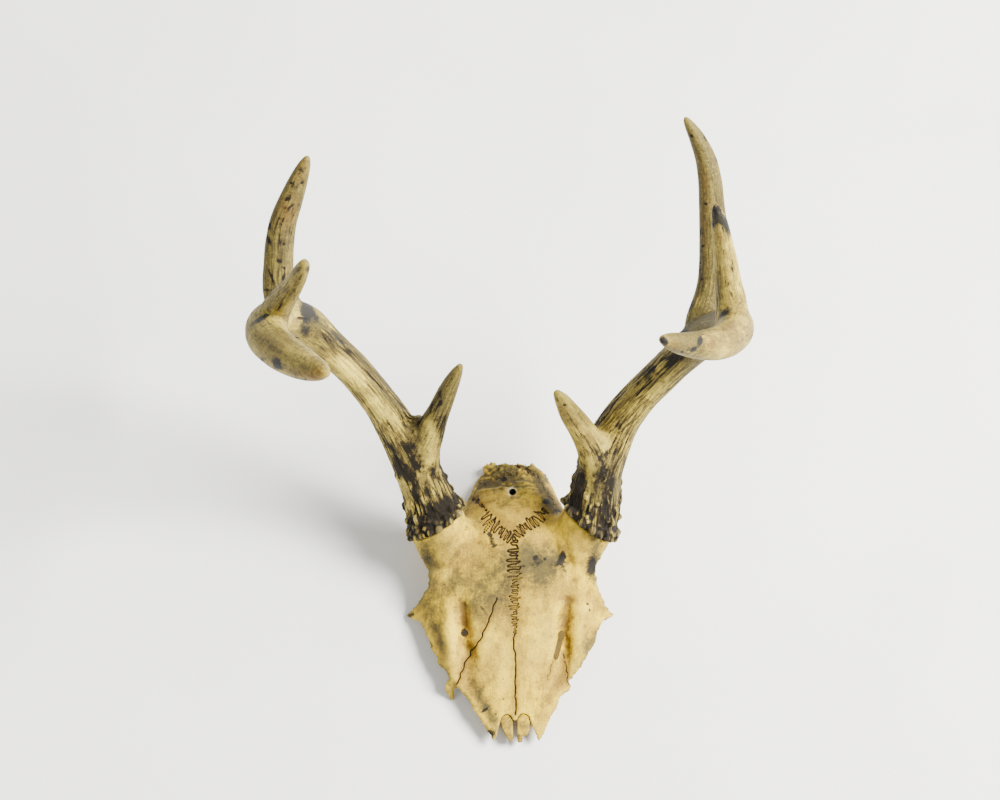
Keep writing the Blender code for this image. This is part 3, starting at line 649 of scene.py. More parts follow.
@dataclass
class Antler:
    """One antler with its burr: built whole, roughened along its grain, and stained.

    The burr is its middle and the way the antler leaves it. The beam's base, middle and end meet
    at beam_cuts. Webs fill forks: a ball's middle and radius, and where and how far it is drawn.
    """

    side: str
    burr: Seat
    branches: dict[str, Branch]
    beam_cuts: Pair
    marks: Sequence[Mark]
    seed: int
    webs: Sequence[Web] = ()

    # The burr's ring and the cut behind it
    burr_diameter: float = 39.0
    ring_inset: float = 2.4
    seat_radius: float = 30.0
    seat_depth: float = 24.0

    # Its knobs: lift, size and inset of each row, and ranges of what is drawn by lot
    beads: int = 17
    bead_rows: tuple[Triple, ...] = ((-1.3, 1.0, 0.0), (1.5, 0.8, 1.3))
    bead_turn: Pair = (-0.3, 0.3)
    bead_radius: Pair = (2.0, 3.5)
    bead_rise: Pair = (-0.3, 1.2)
    bead_lift: Pair = (-0.8, 0.8)
    bead_stretch: Pair = (0.9, 1.35)

    # The pearls above it
    pearls: int = 72
    pearl_radius: Pair = (1.1, 2.2)
    pearl_start: float = 3.5
    pearl_reach: float = 34.0
    pearl_crowding: float = 1.6
    pearl_stretch: Pair = (0.5, 3.0)

    # Their pale tops
    knob_tones: Pair = (-0.35, 1.4)
    knob_edge: Pair = (0.6, 1.15)
    knob_reach: float = 60.0

    # Forks, where the branches' grain blends
    blend: float = 0.24
    sharp_blend: float = 0.04
    fork_gap: Pair = (0.15, 0.85)
    fork_core: Pair = (0.04, 0.18)
    brow_root: float = 1.6
    fillet_rounds: int = 90
    fillet_passes: int = 7

    # The surface
    burr_reach: float = 6.0
    cavity_rounds: int = 10
    sunk_edge: Pair = (0.02, 0.22)
    rough_edge: Pair = (0.08, 0.32)
    smooth_edge: Pair = (0.08, 0.34)
    facing: Pair = (-0.35, 0.05)
    mottle_size: float = 5.0
    voxel: float = 0.62
    smoothing: int = 3

    def __post_init__(self) -> None:
        """Work out the burr's directions."""
        centre, axis = (np.array(part, dtype=float) for part in self.burr)
        self.centre = centre
        self.axis = axis / np.linalg.norm(axis)
        self.across = np.cross(self.axis, (0, 0, 1))
        self.across /= np.linalg.norm(self.across)
        self.up = np.cross(self.across, self.axis)
        self.knobs: list[tuple[Array, float]] = []

    def node_names(self) -> list[str]:
        """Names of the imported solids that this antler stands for."""
        ends = ("base", "beam", "beam_end", "brow_tine", "second_tine", "third_tine")
        return [f"antler_{self.side}_{end}" for end in ends]

    def crown(self, draw: np.random.Generator) -> list[Item]:
        """Make the burr: a ring with two rows of knobs grown out of it."""
        pieces = [Workshop.drum(self.centre, self.axis,
                                self.burr_diameter / 2 - self.ring_inset, BURR_THICKNESS)]
        for row, (lift, size, inset) in enumerate(self.bead_rows):
            for index in range(self.beads):
                turn = index + row / 2 + draw.uniform(*self.bead_turn)
                angle = turn * 2 * math.pi / self.beads
                radius = draw.uniform(*self.bead_radius) * size
                reach = self.burr_diameter / 2 - radius + draw.uniform(*self.bead_rise) - inset
                outward = self.across * math.cos(angle) + self.up * math.sin(angle)
                above = lift + draw.uniform(*self.bead_lift)
                spot = self.centre + outward * reach + self.axis * above
                stretch = self.drawn_out(outward, draw.uniform(*self.bead_stretch))
                pieces.append(Workshop.ball(spot, radius, stretch))
                self.knobs.append((spot, radius))
        return pieces

    @staticmethod
    def drawn_out(direction: Array, amount: float) -> Matrix:
        """Matrix that lengthens a ball along a direction."""
        return Matrix.Scale(amount, 4, Vector(direction))

    def scatter(self, draw: np.random.Generator) -> list[Item]:
        """Make the pearls above the burr, drawn out along the beam, smaller further up."""
        beam = self.branches["beam"]
        foot = float(np.interp(self.centre[1], beam.centres[:, 1], beam.runs))
        pieces = []
        for index in range(self.pearls):
            share = (index + draw.uniform(0, 1)) / self.pearls
            run = foot + self.pearl_start + share ** self.pearl_crowding * self.pearl_reach
            row = int(np.searchsorted(beam.runs, run))
            angle = draw.uniform(0, 2 * math.pi)
            radius = draw.uniform(*self.pearl_radius) * (1.1 - 0.6 * share)
            spot = (beam.centres[row] + beam.sides[row] * math.cos(angle) * beam.path[row, 3] / 2
                    + beam.ups[row] * math.sin(angle) * beam.path[row, 4] / 2)
            stretch = self.drawn_out(beam.tangents[row],
                                     1 + share * draw.uniform(*self.pearl_stretch))
            pieces.append(Workshop.ball(spot, radius, stretch))
            self.knobs.append((spot, radius * (1 - 0.5 * share)))
        return pieces

    def knobbed(self, places: Array, draw: np.random.Generator) -> Array:
        """Find which points lie on top of a knob or a pearl.

        Args:
            places: Points.
            draw: What gives each knob its own strength.

        Returns:
            1 on a pale knob, 0 off it.
        """
        tree = tree_of(spot for spot, _ in self.knobs)
        sizes = np.array([radius for _, radius in self.knobs])
        tones = draw.uniform(*self.knob_tones, len(sizes))
        knob = np.zeros(len(places))
        near = np.flatnonzero(np.linalg.norm(places - self.centre, axis=1) < self.knob_reach)
        found = [tree.find(places[index])[1:] for index in near]
        rows = np.array([row for row, _ in found])
        gaps = np.array([gap for _, gap in found])
        on_top = 1 - step(*self.knob_edge, gaps / sizes[rows])
        knob[near] = on_top * np.clip(tones[rows], 0, 1)
        return knob

    def build(self) -> Item:
        """Build the antler in the skull's frame.

        Returns:
            Its object.
        """
        draw = np.random.default_rng(self.seed)
        pieces = [branch.tube() for branch in self.branches.values()]
        pieces += self.crown(draw) + self.scatter(draw)
        pieces += [Workshop.ball(spot, radius, self.drawn_out(np.array(heading), amount))
                   for spot, radius, heading, amount in self.webs]
        whole = Workshop.join(f"antler_{self.side}_skin", pieces)
        seat = self.centre - self.axis * (BURR_THICKNESS + self.seat_depth) / 2
        Workshop.fuse(whole, self.voxel, self.smoothing)
        Workshop.cut(whole, Workshop.drum(seat, self.axis, self.seat_radius, self.seat_depth))
        self.work(Skin(whole), draw)
        return whole

    def work(self, skin: Skin, draw: np.random.Generator) -> None:
        """Roughen the surface along the grain, and store what the finish needs.

        Args:
            skin: The antler's fused surface.
            draw: Random draws for its knobs.
        """
        knob = self.knobbed(skin.places, draw)
        spots = {name: branch.locate(skin.places) for name, branch in self.branches.items()}
        ratios = np.stack([spot.ratio for spot in spots.values()])
        nearest = np.sort(ratios, axis=0)
        gap = nearest[1] - nearest[0]
        fork = 1 - step(*self.fork_gap, gap)
        for _ in range(self.fillet_passes):
            skin.fill(fork, self.fillet_rounds)

        fields = self.blended(spots, ratios)
        streak, fine, tip = fields["streak"], fields["fine"], fields["tip"]
        burr = bell((skin.places - self.centre) @ self.axis, self.burr_reach)
        relief = fields["relief"] * (1 - 0.6 * fork)
        depth = sum(grain.depth * fields[key] for key, grain in GRAINS.items())
        depth += 0.3 * step(0.0, 0.5, streak)
        height = 0.12 * fine * (1 - relief) * (1 - 0.8 * tip) - relief * depth
        skin.raise_by(height * (1 - 0.5 * burr))

        cavity = skin.cavity(self.cavity_rounds)
        sunk = step(*self.sunk_edge, cavity)
        raised = step(*self.sunk_edge, -cavity)
        mottle = Noise(self.seed * 10 + 9).layered(skin.places / self.mottle_size, 3)
        shown = Shown(*lies(skin.places), step(*self.facing, skin.normals[:, 2]),
                      self.stretches(spots, ratios.argmin(axis=0)),
                      0.4 * streak + 0.3 * fine + 0.9 * mottle)
        given = shown.marked(self.marks, ("dark", "ink", "olive", "ochre", "pale"))
        grained = step(*self.rough_edge, relief)
        pattern = 0.5 + 0.46 * grained * streak + 0.22 * (1 - grained) * mottle
        pattern += 0.26 * fine * grained + 0.2 * sunk
        pattern += 0.22 * fields["furrow"] + 0.18 * fields["rib"] - 0.42 * raised * (0.3 + burr)
        cover = fields["stain"] + 0.9 * given["dark"] - given["pale"] + 0.3 * burr + 0.16 * mottle
        dark = np.clip(0.5 + 1.4 * (pattern + cover - 1.0), 0, 1.1)
        smooth = 0.85 * (1 - step(*self.smooth_edge, relief))
        skin.keep("dark", dark * (1 - 0.85 * knob))
        skin.keep("ink", np.clip(given["ink"], 0, 1.2))
        skin.keep("rough", relief)
        skin.keep("tip", tip)
        skin.keep_shares({
            "knob": knob, "sunk": sunk, "fork": np.maximum(1 - step(*self.fork_core, gap), smooth),
            "ochre": given["ochre"] + 0.5 * sunk * relief,
            "pale": given["pale"] + (0.5 - 0.4 * burr) * raised,
            "olive": fields["olive"] + given["olive"] - given["pale"] + 0.2 * streak})
        skin.keep("grain", fields["grain"])
        skin.keep("skull", skin.places)

    @staticmethod
    def shares(ratios: Array, softness: float) -> Array:
        """Share of each branch at each point, less the further its axis is."""
        pulls = np.exp(-(ratios - ratios.min(axis=0)) / softness)
        return pulls / pulls.sum(axis=0)

    def blended(self, spots: dict[str, Spot], ratios: Array) -> dict[str, Array]:
        """Blend the branches' grain, and their tables, where they meet.

        Args:
            spots: Places of the points on each branch.
            ratios: Distances from each branch's axis, as shares of its radius.

        Returns:
            Values by name; grain is a point's place on the straightened branch.
        """
        count = ratios.shape[1]
        pulls, own = self.shares(ratios, self.blend), self.shares(ratios, self.sharp_blend)
        tables = ("relief", "stain", "olive")
        fields = {key: np.zeros(count) for key in (*GRAINS, *tables, "tip")}
        fields["grain"] = np.zeros((count, 3))
        for row, (name, spot) in enumerate(spots.items()):
            branch = self.branches[name]
            near = np.flatnonzero(pulls[row] > 0.02)
            share = pulls[row][near]
            laid = spot.grain()[near] + row * 100.0
            along = spot.along[near]
            for key, grain in GRAINS.items():
                fields[key][near] += share * grain.at(laid, self.seed * 10 + row)
            for key in tables:
                fields[key][near] += share * read(getattr(branch, key), along)
            fields["tip"][near] += share * step(0.45, 1.0, along / branch.along[-1])
            fields["grain"][near] += own[row][near][:, None] * laid
        return fields

    def stretches(self, spots: dict[str, Spot], owner: Array) -> Array:
        """Name the stretch of antler that each point belongs to.

        Args:
            spots: Places of the points on each branch.
            owner: Number of the branch that each point lies on.

        Returns:
            A name for each point: base, beam, beam_end, or the tine's.
        """
        where = np.array(list(spots), dtype="<U8")[owner]
        along = spots["beam"].along
        first, last = self.beam_cuts
        where[(where == "brow") & (spots["brow"].along < self.brow_root)] = "base"
        where[(where == "beam") & (along < first)] = "base"
        where[(where == "beam") & (along >= last)] = "beam_end"
        return where


@dataclass(frozen=True)
class Forehead:
    """Outer face of the frontal bones, as a height over X and Y in millimetres."""

    level_y: float = 60.0
    nose_slope: float = 0.21
    crown: float = 0.0046
    crown_behind: float = 0.0018
    brow: Pair = (68.0, 94.0)

    # The vessels' leaning groove, and the ridge outside it
    groove_x: float = 28.0
    groove_lean: float = 0.1
    lean_from: float = 57.9
    lean_range: Pair = (-20.0, 60.0)
    groove_y: float = 54.0
    groove_length: float = 17.0
    groove_depth: float = 5.2
    groove_width: float = 4.2
    ridge_offset: float = 9.0
    ridge_length: float = 22.0
    ridge_height: float = 3.4
    ridge_width: float = 5.5

    # Swelling and hollow: height, place along Y, reach across, reach along
    swellings: tuple[Quad, ...] = (
        (2.2, 104.0, 17.0, 16.0), (-1.4, 70.0, 12.0, 18.0))

    bend_y: float = 111.0
    bend: float = 0.06
    rim_x: float = 38.0
    rim_turn: float = 0.012

    def height(self, x: Array, y: Array) -> Array:
        """Give the height of the outer face.

        Args:
            x: Places across.
            y: Places along.

        Returns:
            Heights above zero.
        """
        reach = np.abs(x)
        crown = self.crown - (self.crown - self.crown_behind) * step(*self.brow, y)
        height = self.nose_slope * (self.level_y - y) - crown * x * x
        groove = self.groove_x - self.groove_lean * np.clip(self.lean_from - y, *self.lean_range)
        height = height - (self.groove_depth * bell(y - self.groove_y, self.groove_length)
                           * bell(reach - groove, self.groove_width))
        height = height + (self.ridge_height * bell(y - self.groove_y, self.ridge_length)
                           * bell(reach - groove - self.ridge_offset, self.ridge_width))
        for swelling, middle, across, along in self.swellings:
            height = height + swelling * bell(x, across) * bell(y - middle, along)
        height = height - self.bend * np.clip(y - self.bend_y, 0, None) ** 2
        return height - self.rim_turn * np.clip(reach - self.rim_x, 0, None) ** 2


FOREHEAD = Forehead()


@dataclass
class Seam:
    """A suture or crack: a line carved into the skull plate.

    The course is in pixels. Sway is how far it swings to either side, pitch the length of a swing
    there and back, and curl the share of it by which loops overhang. Width is half its width.
    """

    course: Sequence[Pair]
    sway: Table
    pitch: float
    curl: float
    seed: int
    depth: float
    width: float
    fading: float
    rim: float = 0.0
    tint: float = 1.0
    points: Array = field(init=False)

    POINT_GAP = 0.1
    WAVER = 1.6

    def __post_init__(self) -> None:
        """Wind the line."""
        course = [from_photo(*spot) for spot in self.course]
        self.points = meander(course, self.sway, self.pitch, self.curl, self.seed)

    def strengths(self, seed: int) -> Array:
        """Strength of the line at each of its points, wavering from full to faint.

        Args:
            seed: Seed of the noise that it wavers by.

        Returns:
            Strengths from 0 to 1.
        """
        marks = np.arange(len(self.points)) * self.POINT_GAP
        waver = Noise(seed).layered(np.stack([marks / self.WAVER, marks * 0, marks * 0], axis=1), 2)
        return np.clip(1 - self.fading * (0.5 + 0.9 * waver), 0.1, 1)


def meander(course: Sequence[Pair], sway: Table, pitch: float, curl: float,
            seed: int) -> Array:
    """Wind a line from side to side in loops, as a suture does.

    Args:
        course: Middle of the suture.
        sway: How far it swings to either side along it.
        pitch: Length of one swing there and back.
        curl: How far its loops overhang, as a share of the pitch.
        seed: Seed of the noise that makes it uneven.

    Returns:
        Points of the line, about 0.12 mm apart.
    """
    rows = np.array(course, dtype=float)
    lengths = np.concatenate([[0], np.cumsum(np.linalg.norm(np.diff(rows, axis=0), axis=1))])
    marks = np.arange(0, lengths[-1], pitch / 40)
    noise = Noise(seed)
    zeros = np.zeros_like(marks)
    uneven, wander, wiggle = (
        noise.at(np.stack([marks / pitch * rate, zeros + lane, zeros], axis=1))
        for rate, lane in ((0.8, 0.0), (1.3, 9.5), (6.0, 3.5)))
    phase = 2 * math.pi * marks / pitch + 3.2 * uneven

    def on_course(marks: Array) -> Array:
        """Places at distances along the course."""
        return np.stack([np.interp(marks, lengths, rows[:, axis]) for axis in (0, 1)], axis=1)

    spots = np.clip(marks - curl * pitch * np.sin(2 * phase), 0, lengths[-1])
    ahead = on_course(spots + 0.5) - on_course(spots - 0.5)
    ahead /= np.linalg.norm(ahead, axis=1)[:, None]
    swing = read(sway, marks) * ((np.sin(phase) + 0.3 * np.sin(2 * phase + 1)) * (1 + 0.9 * wander)
                                 + 0.3 * wiggle)
    return on_course(spots) + np.stack([-ahead[:, 1], ahead[:, 0]], axis=1) * swing[:, None]


@dataclass
class SkullPlate:
    """The sawn skull plate: forehead, dome, pedicles and hollows in one skin.

    The marks are the stains of its outer face, with some painted shade and highlight, and the seats
    the middles and axes of its burrs.
    """

    marks: Sequence[Mark]
    seats: Sequence[Seat]
    seed: int = 5

    # Faces of the rough block and of the skin
    coarse: float = 1.0
    coarse_smoothing: int = 3
    voxel: float = 0.8
    smoothing: int = 2

    # The frontal plate, by half widths along Y
    left_margin: Table = (
        (0, 14.6), (9, 19), (18.5, 24), (25.2, 27.4), (26.8, 31.2), (29.4, 32.6),
        (32.2, 29.8), (33.6, 32.2), (36.5, 35), (42.6, 39.8), (52, 46), (59.3, 48.5),
        (64.2, 50.8), (66.4, 58.4), (70.5, 54.2), (78, 50.2), (86, 47.3), (93, 46.5),
        (102.5, 48.5), (112, 47), (120, 40))
    right_margin: Table = (
        (0, 11.2), (12.9, 20.2), (21.3, 25.4), (26.3, 29.6), (33.6, 36), (40.9, 42.6),
        (52.1, 48.2), (59, 51.4), (63.4, 53.8), (65.8, 62.8), (70.2, 57.8), (76.6, 53.4),
        (84, 48.9), (91.3, 48.7), (101, 50.5), (112, 48), (120, 40))
    plate_end: float = 120.0
    plate_grid: tuple[int, int] = (104, 168)
    thickness: float = 4.6
    rim_thickness: float = 2.8
    rim_width: float = 10.0

    # The block under it, by half widths along Y and arched sections
    core_width: Table = (
        (3, 8.5), (15, 14.5), (30, 16.5), (50, 19), (80, 20), (95, 25), (110, 31),
        (120, 31), (132, 26), (143, 20.8), (149, 17.4), (154, 15))
    dome_crest: Table = (
        (112, -10.5), (120, -14.5), (128, -22), (135, -31.5), (141, -42.5), (146, -53.5),
        (150, -64), (154, -75))
    core_ends: Pair = (3.0, 154.0)
    core_foot: float = 2.0
    crest_drop: float = 2.4
    crest_join: Pair = (106.0, 114.0)
    section_spacing: float = 1.5
    arch_points: int = 37
    arch_power: float = 2.3
    arch_height: float = 30.0
    arch_share: float = 1.05
    least_rise: float = 1.0
    least_side: float = 0.5

    # Hollows, saw cut and the burrs' seats
    wall: float = 3.4
    roof: float = 6.0
    nose_hollow: Pair = (7.0, 60.0)
    brain_hollow: Pair = (65.0, 146.5)
    saw_height: float = 2.5
    saw_block: Triple = (200.0, 400.0, 60.0)
    saw_below: float = 8.0
    seat_gap: float = 0.3
    seat_radius: float = 27.0
    seat_depth: float = 24.0

    # Pedicles, the bone by the tear duct, and knobs of the torn nape
    pedicles: tuple[tuple[Station, ...], ...] = (
        ((-28, 80, -36, 20, 20), (-32, 92, -29, 28, 28), (-36.8, 104, -22.8, 32.5, 32.5),
         (-41, 113, -18.8, 33, 33), (-44.6, 121.6, -15, 33, 33)),
        ((27, 80, -36, 20, 20), (30.5, 92, -29, 27, 27), (34.2, 104, -22.8, 31, 31),
         (38.6, 113, -18.8, 32, 32), (43.2, 121.6, -15, 32.5, 32.5)))
    lacrimal: tuple[Station, ...] = (
        (-31, 33, 1, 6, 3), (-34.6, 30.6, -1, 7.6, 3), (-36, 26.6, -3.5, 6, 2.8),
        (-35.2, 22.8, -5.5, 3.8, 2.4), (-34.6, 20.2, -7, 2.2, 1.8))
    nape_knobs: tuple[Quad, ...] = (
        (-14.6, 149, -62, 2.8), (-11, 150.2, -64, 2.4), (-4.6, 150, -64, 2),
        (4.6, 149.8, -64, 2.2), (11.6, 148.6, -62, 2.8), (15.4, 145.2, -58, 2))

    # Drilled hole, the holes above the eyes, slot and nose notch
    holes: tuple[Triple, ...] = (
        (-0.6, 136.3, 3.4), (-27.8, 57.9, 4.6), (26.8, 57.1, 4.4))
    slot_end: Triple = (23.2, 44.6, 2.8)
    notch_right: Table = ((-11.8, -6.0), (-10.6, 0.0), (-9.4, 4.5))
    notch_bays: tuple[tuple[Pair, float], ...] = (
        ((-4.1, 11.1), 3.4), ((5.2, 11.1), 3.7))
    notch_left: Table = ((10.0, 7.8), (13.2, 1.7), (15.4, -6.0))

    # Fillets, and the saddles beside the dome by pixels
    fillet_rounds: int = 50
    fillet_passes: int = 4
    saddles: Table = ((472, 514), (553, 518))
    saddle_reach: float = 9.0
    saddle_passes: int = 10

    # Hairline cracks, by darkness and pixels, and how seams are carved
    cracks: tuple[tuple[float, Table], ...] = (
        (0.9, ((521, 471), (531, 475), (540, 482), (548, 494), (557, 508))),
        (0.7, ((479, 488), (490, 485.5), (500, 481), (508, 477), (517, 479))),
        (0.9, ((563, 655), (566, 668), (568, 684))), (0.6, ((553, 661), (547, 679))))
    refined: tuple[float, ...] = (1.3, 0.75)
    refined_facing: float = 0.25
    seam_reach: float = 36.0
    halo_reach: float = 2.2
    rim_reach: float = 1.3

    # Cells and layers of the noise of swelling, grit, torn edge, patches and specks
    noises: tuple[tuple[Any, int], ...] = (
        (14.0, 3), (1.7, 2), ((2.4, 3.0, 3.0), 3), (20.0, 3), (2.6, 3))
    facing: Pair = (0.05, 0.45)
    nape: Pair = (139.0, 148.0)
    dome: Pair = (121.0, 140.0)
    chipped_rim: Pair = (0.4, 3.5)
    rim_end: float = 100.0
    chipped_front: Pair = (1.0, 5.0)
    chip_offset: Pair = (-0.6, 0.7)
    chip_edge: Pair = (2.0, 3.0)
    fine_rounds: int = 8
    # Rounds of the broad depth, which paints shade and highlight
    broad_rounds: int = 60

    # The jaw muscle's line and the pits round the holes, by pixels
    muscle_course: Table = (
        (476, 494), (482, 491), (492, 489.6), (501, 487), (508, 488), (512, 490))
    muscle_start: Pair = (474.0, 480.0)
    muscle_end: Pair = (508.0, 514.0)
    pit_depth: float = 2.6
    pits: Sequence[Mark] = tuple(grouped({"pit skull": (
        (465, 622, 24, 5.0, -83, 0.45), (471, 652, 14, 5.0, -62, 0.3),
        (566, 614, 22, 5.4, 80, 0.5), (567, 650, 14, 4.0, -86, 0.5),
        (443, 606, 20, 9.0, 70, 0.35), (569, 561, 26, 5.0, -78, 0.4),
        (457, 560, 26, 6.0, 74, 0.3))}))

    def __post_init__(self) -> None:
        """Lay out the seams."""
        self.seams = self.laid_out()

    def crest(self, y: Array) -> Array:
        """Height of the skull's middle line, from the nose end to the nape."""
        first, last = self.crest_join
        front = FOREHEAD.height(np.zeros_like(y), y) - self.crest_drop
        joined = np.clip((y - first) / (last - first), 0, 1)
        return front * (1 - joined) + eased(self.dome_crest, y) * joined

    def sheet(self) -> Item:
        """Make the frontal plate: a bent sheet, thinner at its rim."""
        bpy.ops.mesh.primitive_grid_add(x_subdivisions=self.plate_grid[0],
                                        y_subdivisions=self.plate_grid[1], size=2)
        plate = bpy.context.object
        flat = np.array([vertex.co[:2] for vertex in plate.data.vertices])
        y = (flat[:, 1] + 1) / 2 * self.plate_end
        half = self.half_width(flat[:, 0], y)
        x = flat[:, 0] * half
        places = np.stack([x, y, FOREHEAD.height(x, y)], axis=1) * MM
        plate.data.vertices.foreach_set("co", places.ravel())
        weights = plate.vertex_groups.new(name="thickness")
        share = self.rim_thickness / self.thickness
        inward = np.clip((1 - np.abs(flat[:, 0])) * half / self.rim_width, 0, 1)
        for index, value in enumerate(share + (1 - share) * inward):
            weights.add([index], float(value), "REPLACE")
        shell = plate.modifiers.new("thickness", "SOLIDIFY")
        shell.thickness = self.thickness * MM
        shell.offset = -1
        shell.vertex_group = "thickness"
        Workshop.settle(plate)
        plate.vertex_groups.clear()
        return plate

    def half_width(self, side: Array, y: Array) -> Array:
        """Half width of the frontal plate along Y, on the side that the sign of side gives."""
        return np.where(side > 0, read(self.left_margin, y), read(self.right_margin, y))

    def core(self, first: float, last: float, inset: float = 0.0, roof: float = 0.0,
             deeper: float = 0.0) -> Item:
        """Make the block under the plate, or the hollow inside it.

        Args:
            first: Where it starts along Y.
            last: Where it ends along Y.
            inset: How much narrower it is on each side.
            roof: How much lower its crest is.
            deeper: How much further down it goes.

        Returns:
            A closed block of arched sections.
        """
        stations = np.linspace(first, last, round((last - first) / self.section_spacing))
        angles = np.linspace(0, math.pi, self.arch_points)
        across = np.sign(np.cos(angles)) * np.abs(np.cos(angles)) ** (2 / self.arch_power)
        rise = np.sin(angles) ** (2 / self.arch_power)
        halves = eased(self.core_width, stations) - inset
        tops = self.crest(stations) - roof
        foot = self.core_foot + SAW_SLOPE * stations - self.saw_below - deeper
        lows = np.minimum(foot, tops - self.least_rise)
        build = bmesh.new()
        rings = []
        for y, half, top, low in zip(stations, halves, tops, lows):
            arch = min(self.arch_height, half * self.arch_share, top - low - self.least_side)
            ring = [(half * a, y, top - arch + arch * b) for a, b in zip(across, rise)]
            ring = [(half, y, low)] + ring + [(-half, y, low)]
            rings.append([build.verts.new(Vector(point) * MM) for point in ring])
        Workshop.bridge(build, rings)
        build.faces.new(rings[-1])
        build.faces.new(list(reversed(rings[0])))
        bmesh.ops.recalc_face_normals(build, faces=build.faces)
        return Workshop.place("core", build)

    def saw(self) -> Item:
        """Make a block of everything below the saw cut."""
        build = bmesh.new()
        bmesh.ops.create_cube(build, size=MM)
        place = Matrix.Translation(Vector((0, 0, self.saw_height)) * MM)
        turn = Matrix.Rotation(math.atan(SAW_SLOPE), 4, "X")
        drop = Matrix.Translation(Vector((0, 0, -self.saw_block[2] / 2)) * MM)
        build.transform(place @ turn @ drop @ Matrix.Diagonal((*self.saw_block, 1)))
        return Workshop.place("saw", build)

    def cutters(self) -> list[Item]:
        """Make what is taken out of the fused blocks, in order."""
        cuts = [self.core(*hollow, self.wall, self.roof - self.crest_drop, self.saw_below)
                for hollow in (self.nose_hollow, self.brain_hollow)]
        cuts.append(self.saw())
        notch = list(self.notch_right)
        for centre, radius in self.notch_bays:
            notch += Workshop.arc(centre, radius, 180, 0)
        cuts.append(Workshop.prism(notch + list(self.notch_left)))
        low, high = Workshop.THROUGH
        for x, y, diameter in self.holes:
            middle = (x, y, (low + high) / 2)
            cuts.append(Workshop.drum(middle, (0, 0, 1), diameter / 2, high - low))
        start, end = np.array(self.holes[2][:2]), np.array(self.slot_end[:2])
        heading = math.degrees(math.atan2(*(end - start)[::-1]))
        radius = self.slot_end[2] / 2
        slot = Workshop.arc(end, radius, heading - 90, heading + 90)
        slot += Workshop.arc(start, radius, heading + 90, heading + 270)
        cuts.append(Workshop.prism(slot))
        return cuts

    def build(self) -> Item:
        """Build the plate in the skull's frame.

        Returns:
            Its object.
        """
        pieces = [self.sheet(), self.core(*self.core_ends), Branch(self.lacrimal).tube()]
        pieces += [Workshop.ball(knob[:3], knob[3], Matrix.Identity(4)) for knob in self.nape_knobs]
        pieces += [Branch(pedicle).tube() for pedicle in self.pedicles]
        plate = Workshop.join("skull_plate", pieces)
        Workshop.fuse(plate, self.coarse, self.coarse_smoothing)
        for cutter in self.cutters():
            Workshop.cut(plate, cutter)
        for centre, axis in self.seats:
            axis = np.array(axis) / np.linalg.norm(axis)
            lift = self.seat_depth / 2 - BURR_THICKNESS / 2 - self.seat_gap
            Workshop.cut(plate, Workshop.drum(np.array(centre) + axis * lift, axis,
                                              self.seat_radius, self.seat_depth))
        Workshop.fuse(plate, self.voxel, self.smoothing)
        self.refine(plate)
        self.work(Skin(plate))
        return plate

    def laid_out(self) -> list[Seam]:
        """Lay out the sutures and cracks of the outer face."""
        upper = Seam(((514.5, 541), (514.5, 572)),
                     ((0, 1.8), (4, 3.2), (9, 2.4), (14, 3.2), (17, 2.6)), pitch=3.0, curl=0.13,
                     seed=31, depth=1.2, width=0.48, fading=0.4, rim=0.6)
        lower = Seam(((515.0, 572), (515.0, 600), (515.0, 634)),
                     ((0, 2.8), (20, 2.1), (34, 0.8)), pitch=1.8, curl=0.11,
                     seed=32, depth=0.9, width=0.28, fading=0.55, rim=0.3)
        left_leg = Seam(((468, 500), (477, 503), (486, 513)), ((0, 0.5), (14, 0.8)), pitch=2.4,
                        curl=0.0, seed=33, depth=1.1, width=0.6, fading=0.9)
        arch = Seam(((485, 515), (490, 523), (498, 529), (507, 535), (513, 539), (519, 532),
                     (527, 526), (535, 521), (546, 511)),
                    ((0, 1.8), (6, 3.2), (18, 3.1), (22, 2.2), (32, 3.0), (44, 2.2)), pitch=2.2,
                    curl=0.12, seed=34, depth=1.2, width=0.44, fading=0.5, rim=0.5)
        hairlines = [Seam(line, ((0, 0.3), (9, 0.4)), pitch=5.0, curl=0.0, seed=37 + row,
                          depth=0.5, width=0.28, fading=0.6, tint=tint)
                     for row, (tint, line) in enumerate(self.cracks)]
        crack = Seam(((496.5, 599), (490, 617), (482, 636), (479, 642), (471, 650), (466, 661),
                      (460, 676), (456.5, 684)), ((0, 0.25), (50, 0.35)), pitch=7.0, curl=0.0,
                     seed=35, depth=0.9, width=0.36, fading=0.25)
        straight = Seam(((514.5, 634), (513, 638), (515.5, 661), (515, 690), (515.8, 712)),
                        ((0, 0.2), (50, 0.2)), pitch=9.0, curl=0.0, seed=36, depth=1.0,
                        width=0.38, fading=0.25)
        return [upper, lower, left_leg, arch, *hairlines, crack, straight]

    def seam_tree(self) -> tuple[KDTree, Array, Array]:
        """Index every point of the seams.

        Returns:
            A search tree over their points, each point's seam number, and its strength.
        """
        seams = list(enumerate(self.seams))
        points = np.vstack([seam.points for seam in self.seams])
        numbers = np.concatenate([[row] * len(seam.points) for row, seam in seams])
        strengths = np.concatenate([seam.strengths(row) for row, seam in seams])
        return tree_of((x, y, 0.0) for x, y in points), numbers, strengths

    def refine(self, plate: Item) -> None:
        """Give the fused plate's mesh finer faces along the seams."""
        tree = self.seam_tree()[0]
        build = bmesh.new()
        build.from_mesh(plate.data)
        for reach in self.refined:
            chosen = set()
            for face in build.faces:
                if face.normal.z < self.refined_facing:
                    continue
                middle = face.calc_center_median() / MM
                if tree.find((middle.x, middle.y, 0.0))[2] < reach:
                    chosen.update(face.edges)
            bmesh.ops.subdivide_edges(build, edges=list(chosen), cuts=1, use_grid_fill=True)
        build.to_mesh(plate.data)
        build.free()

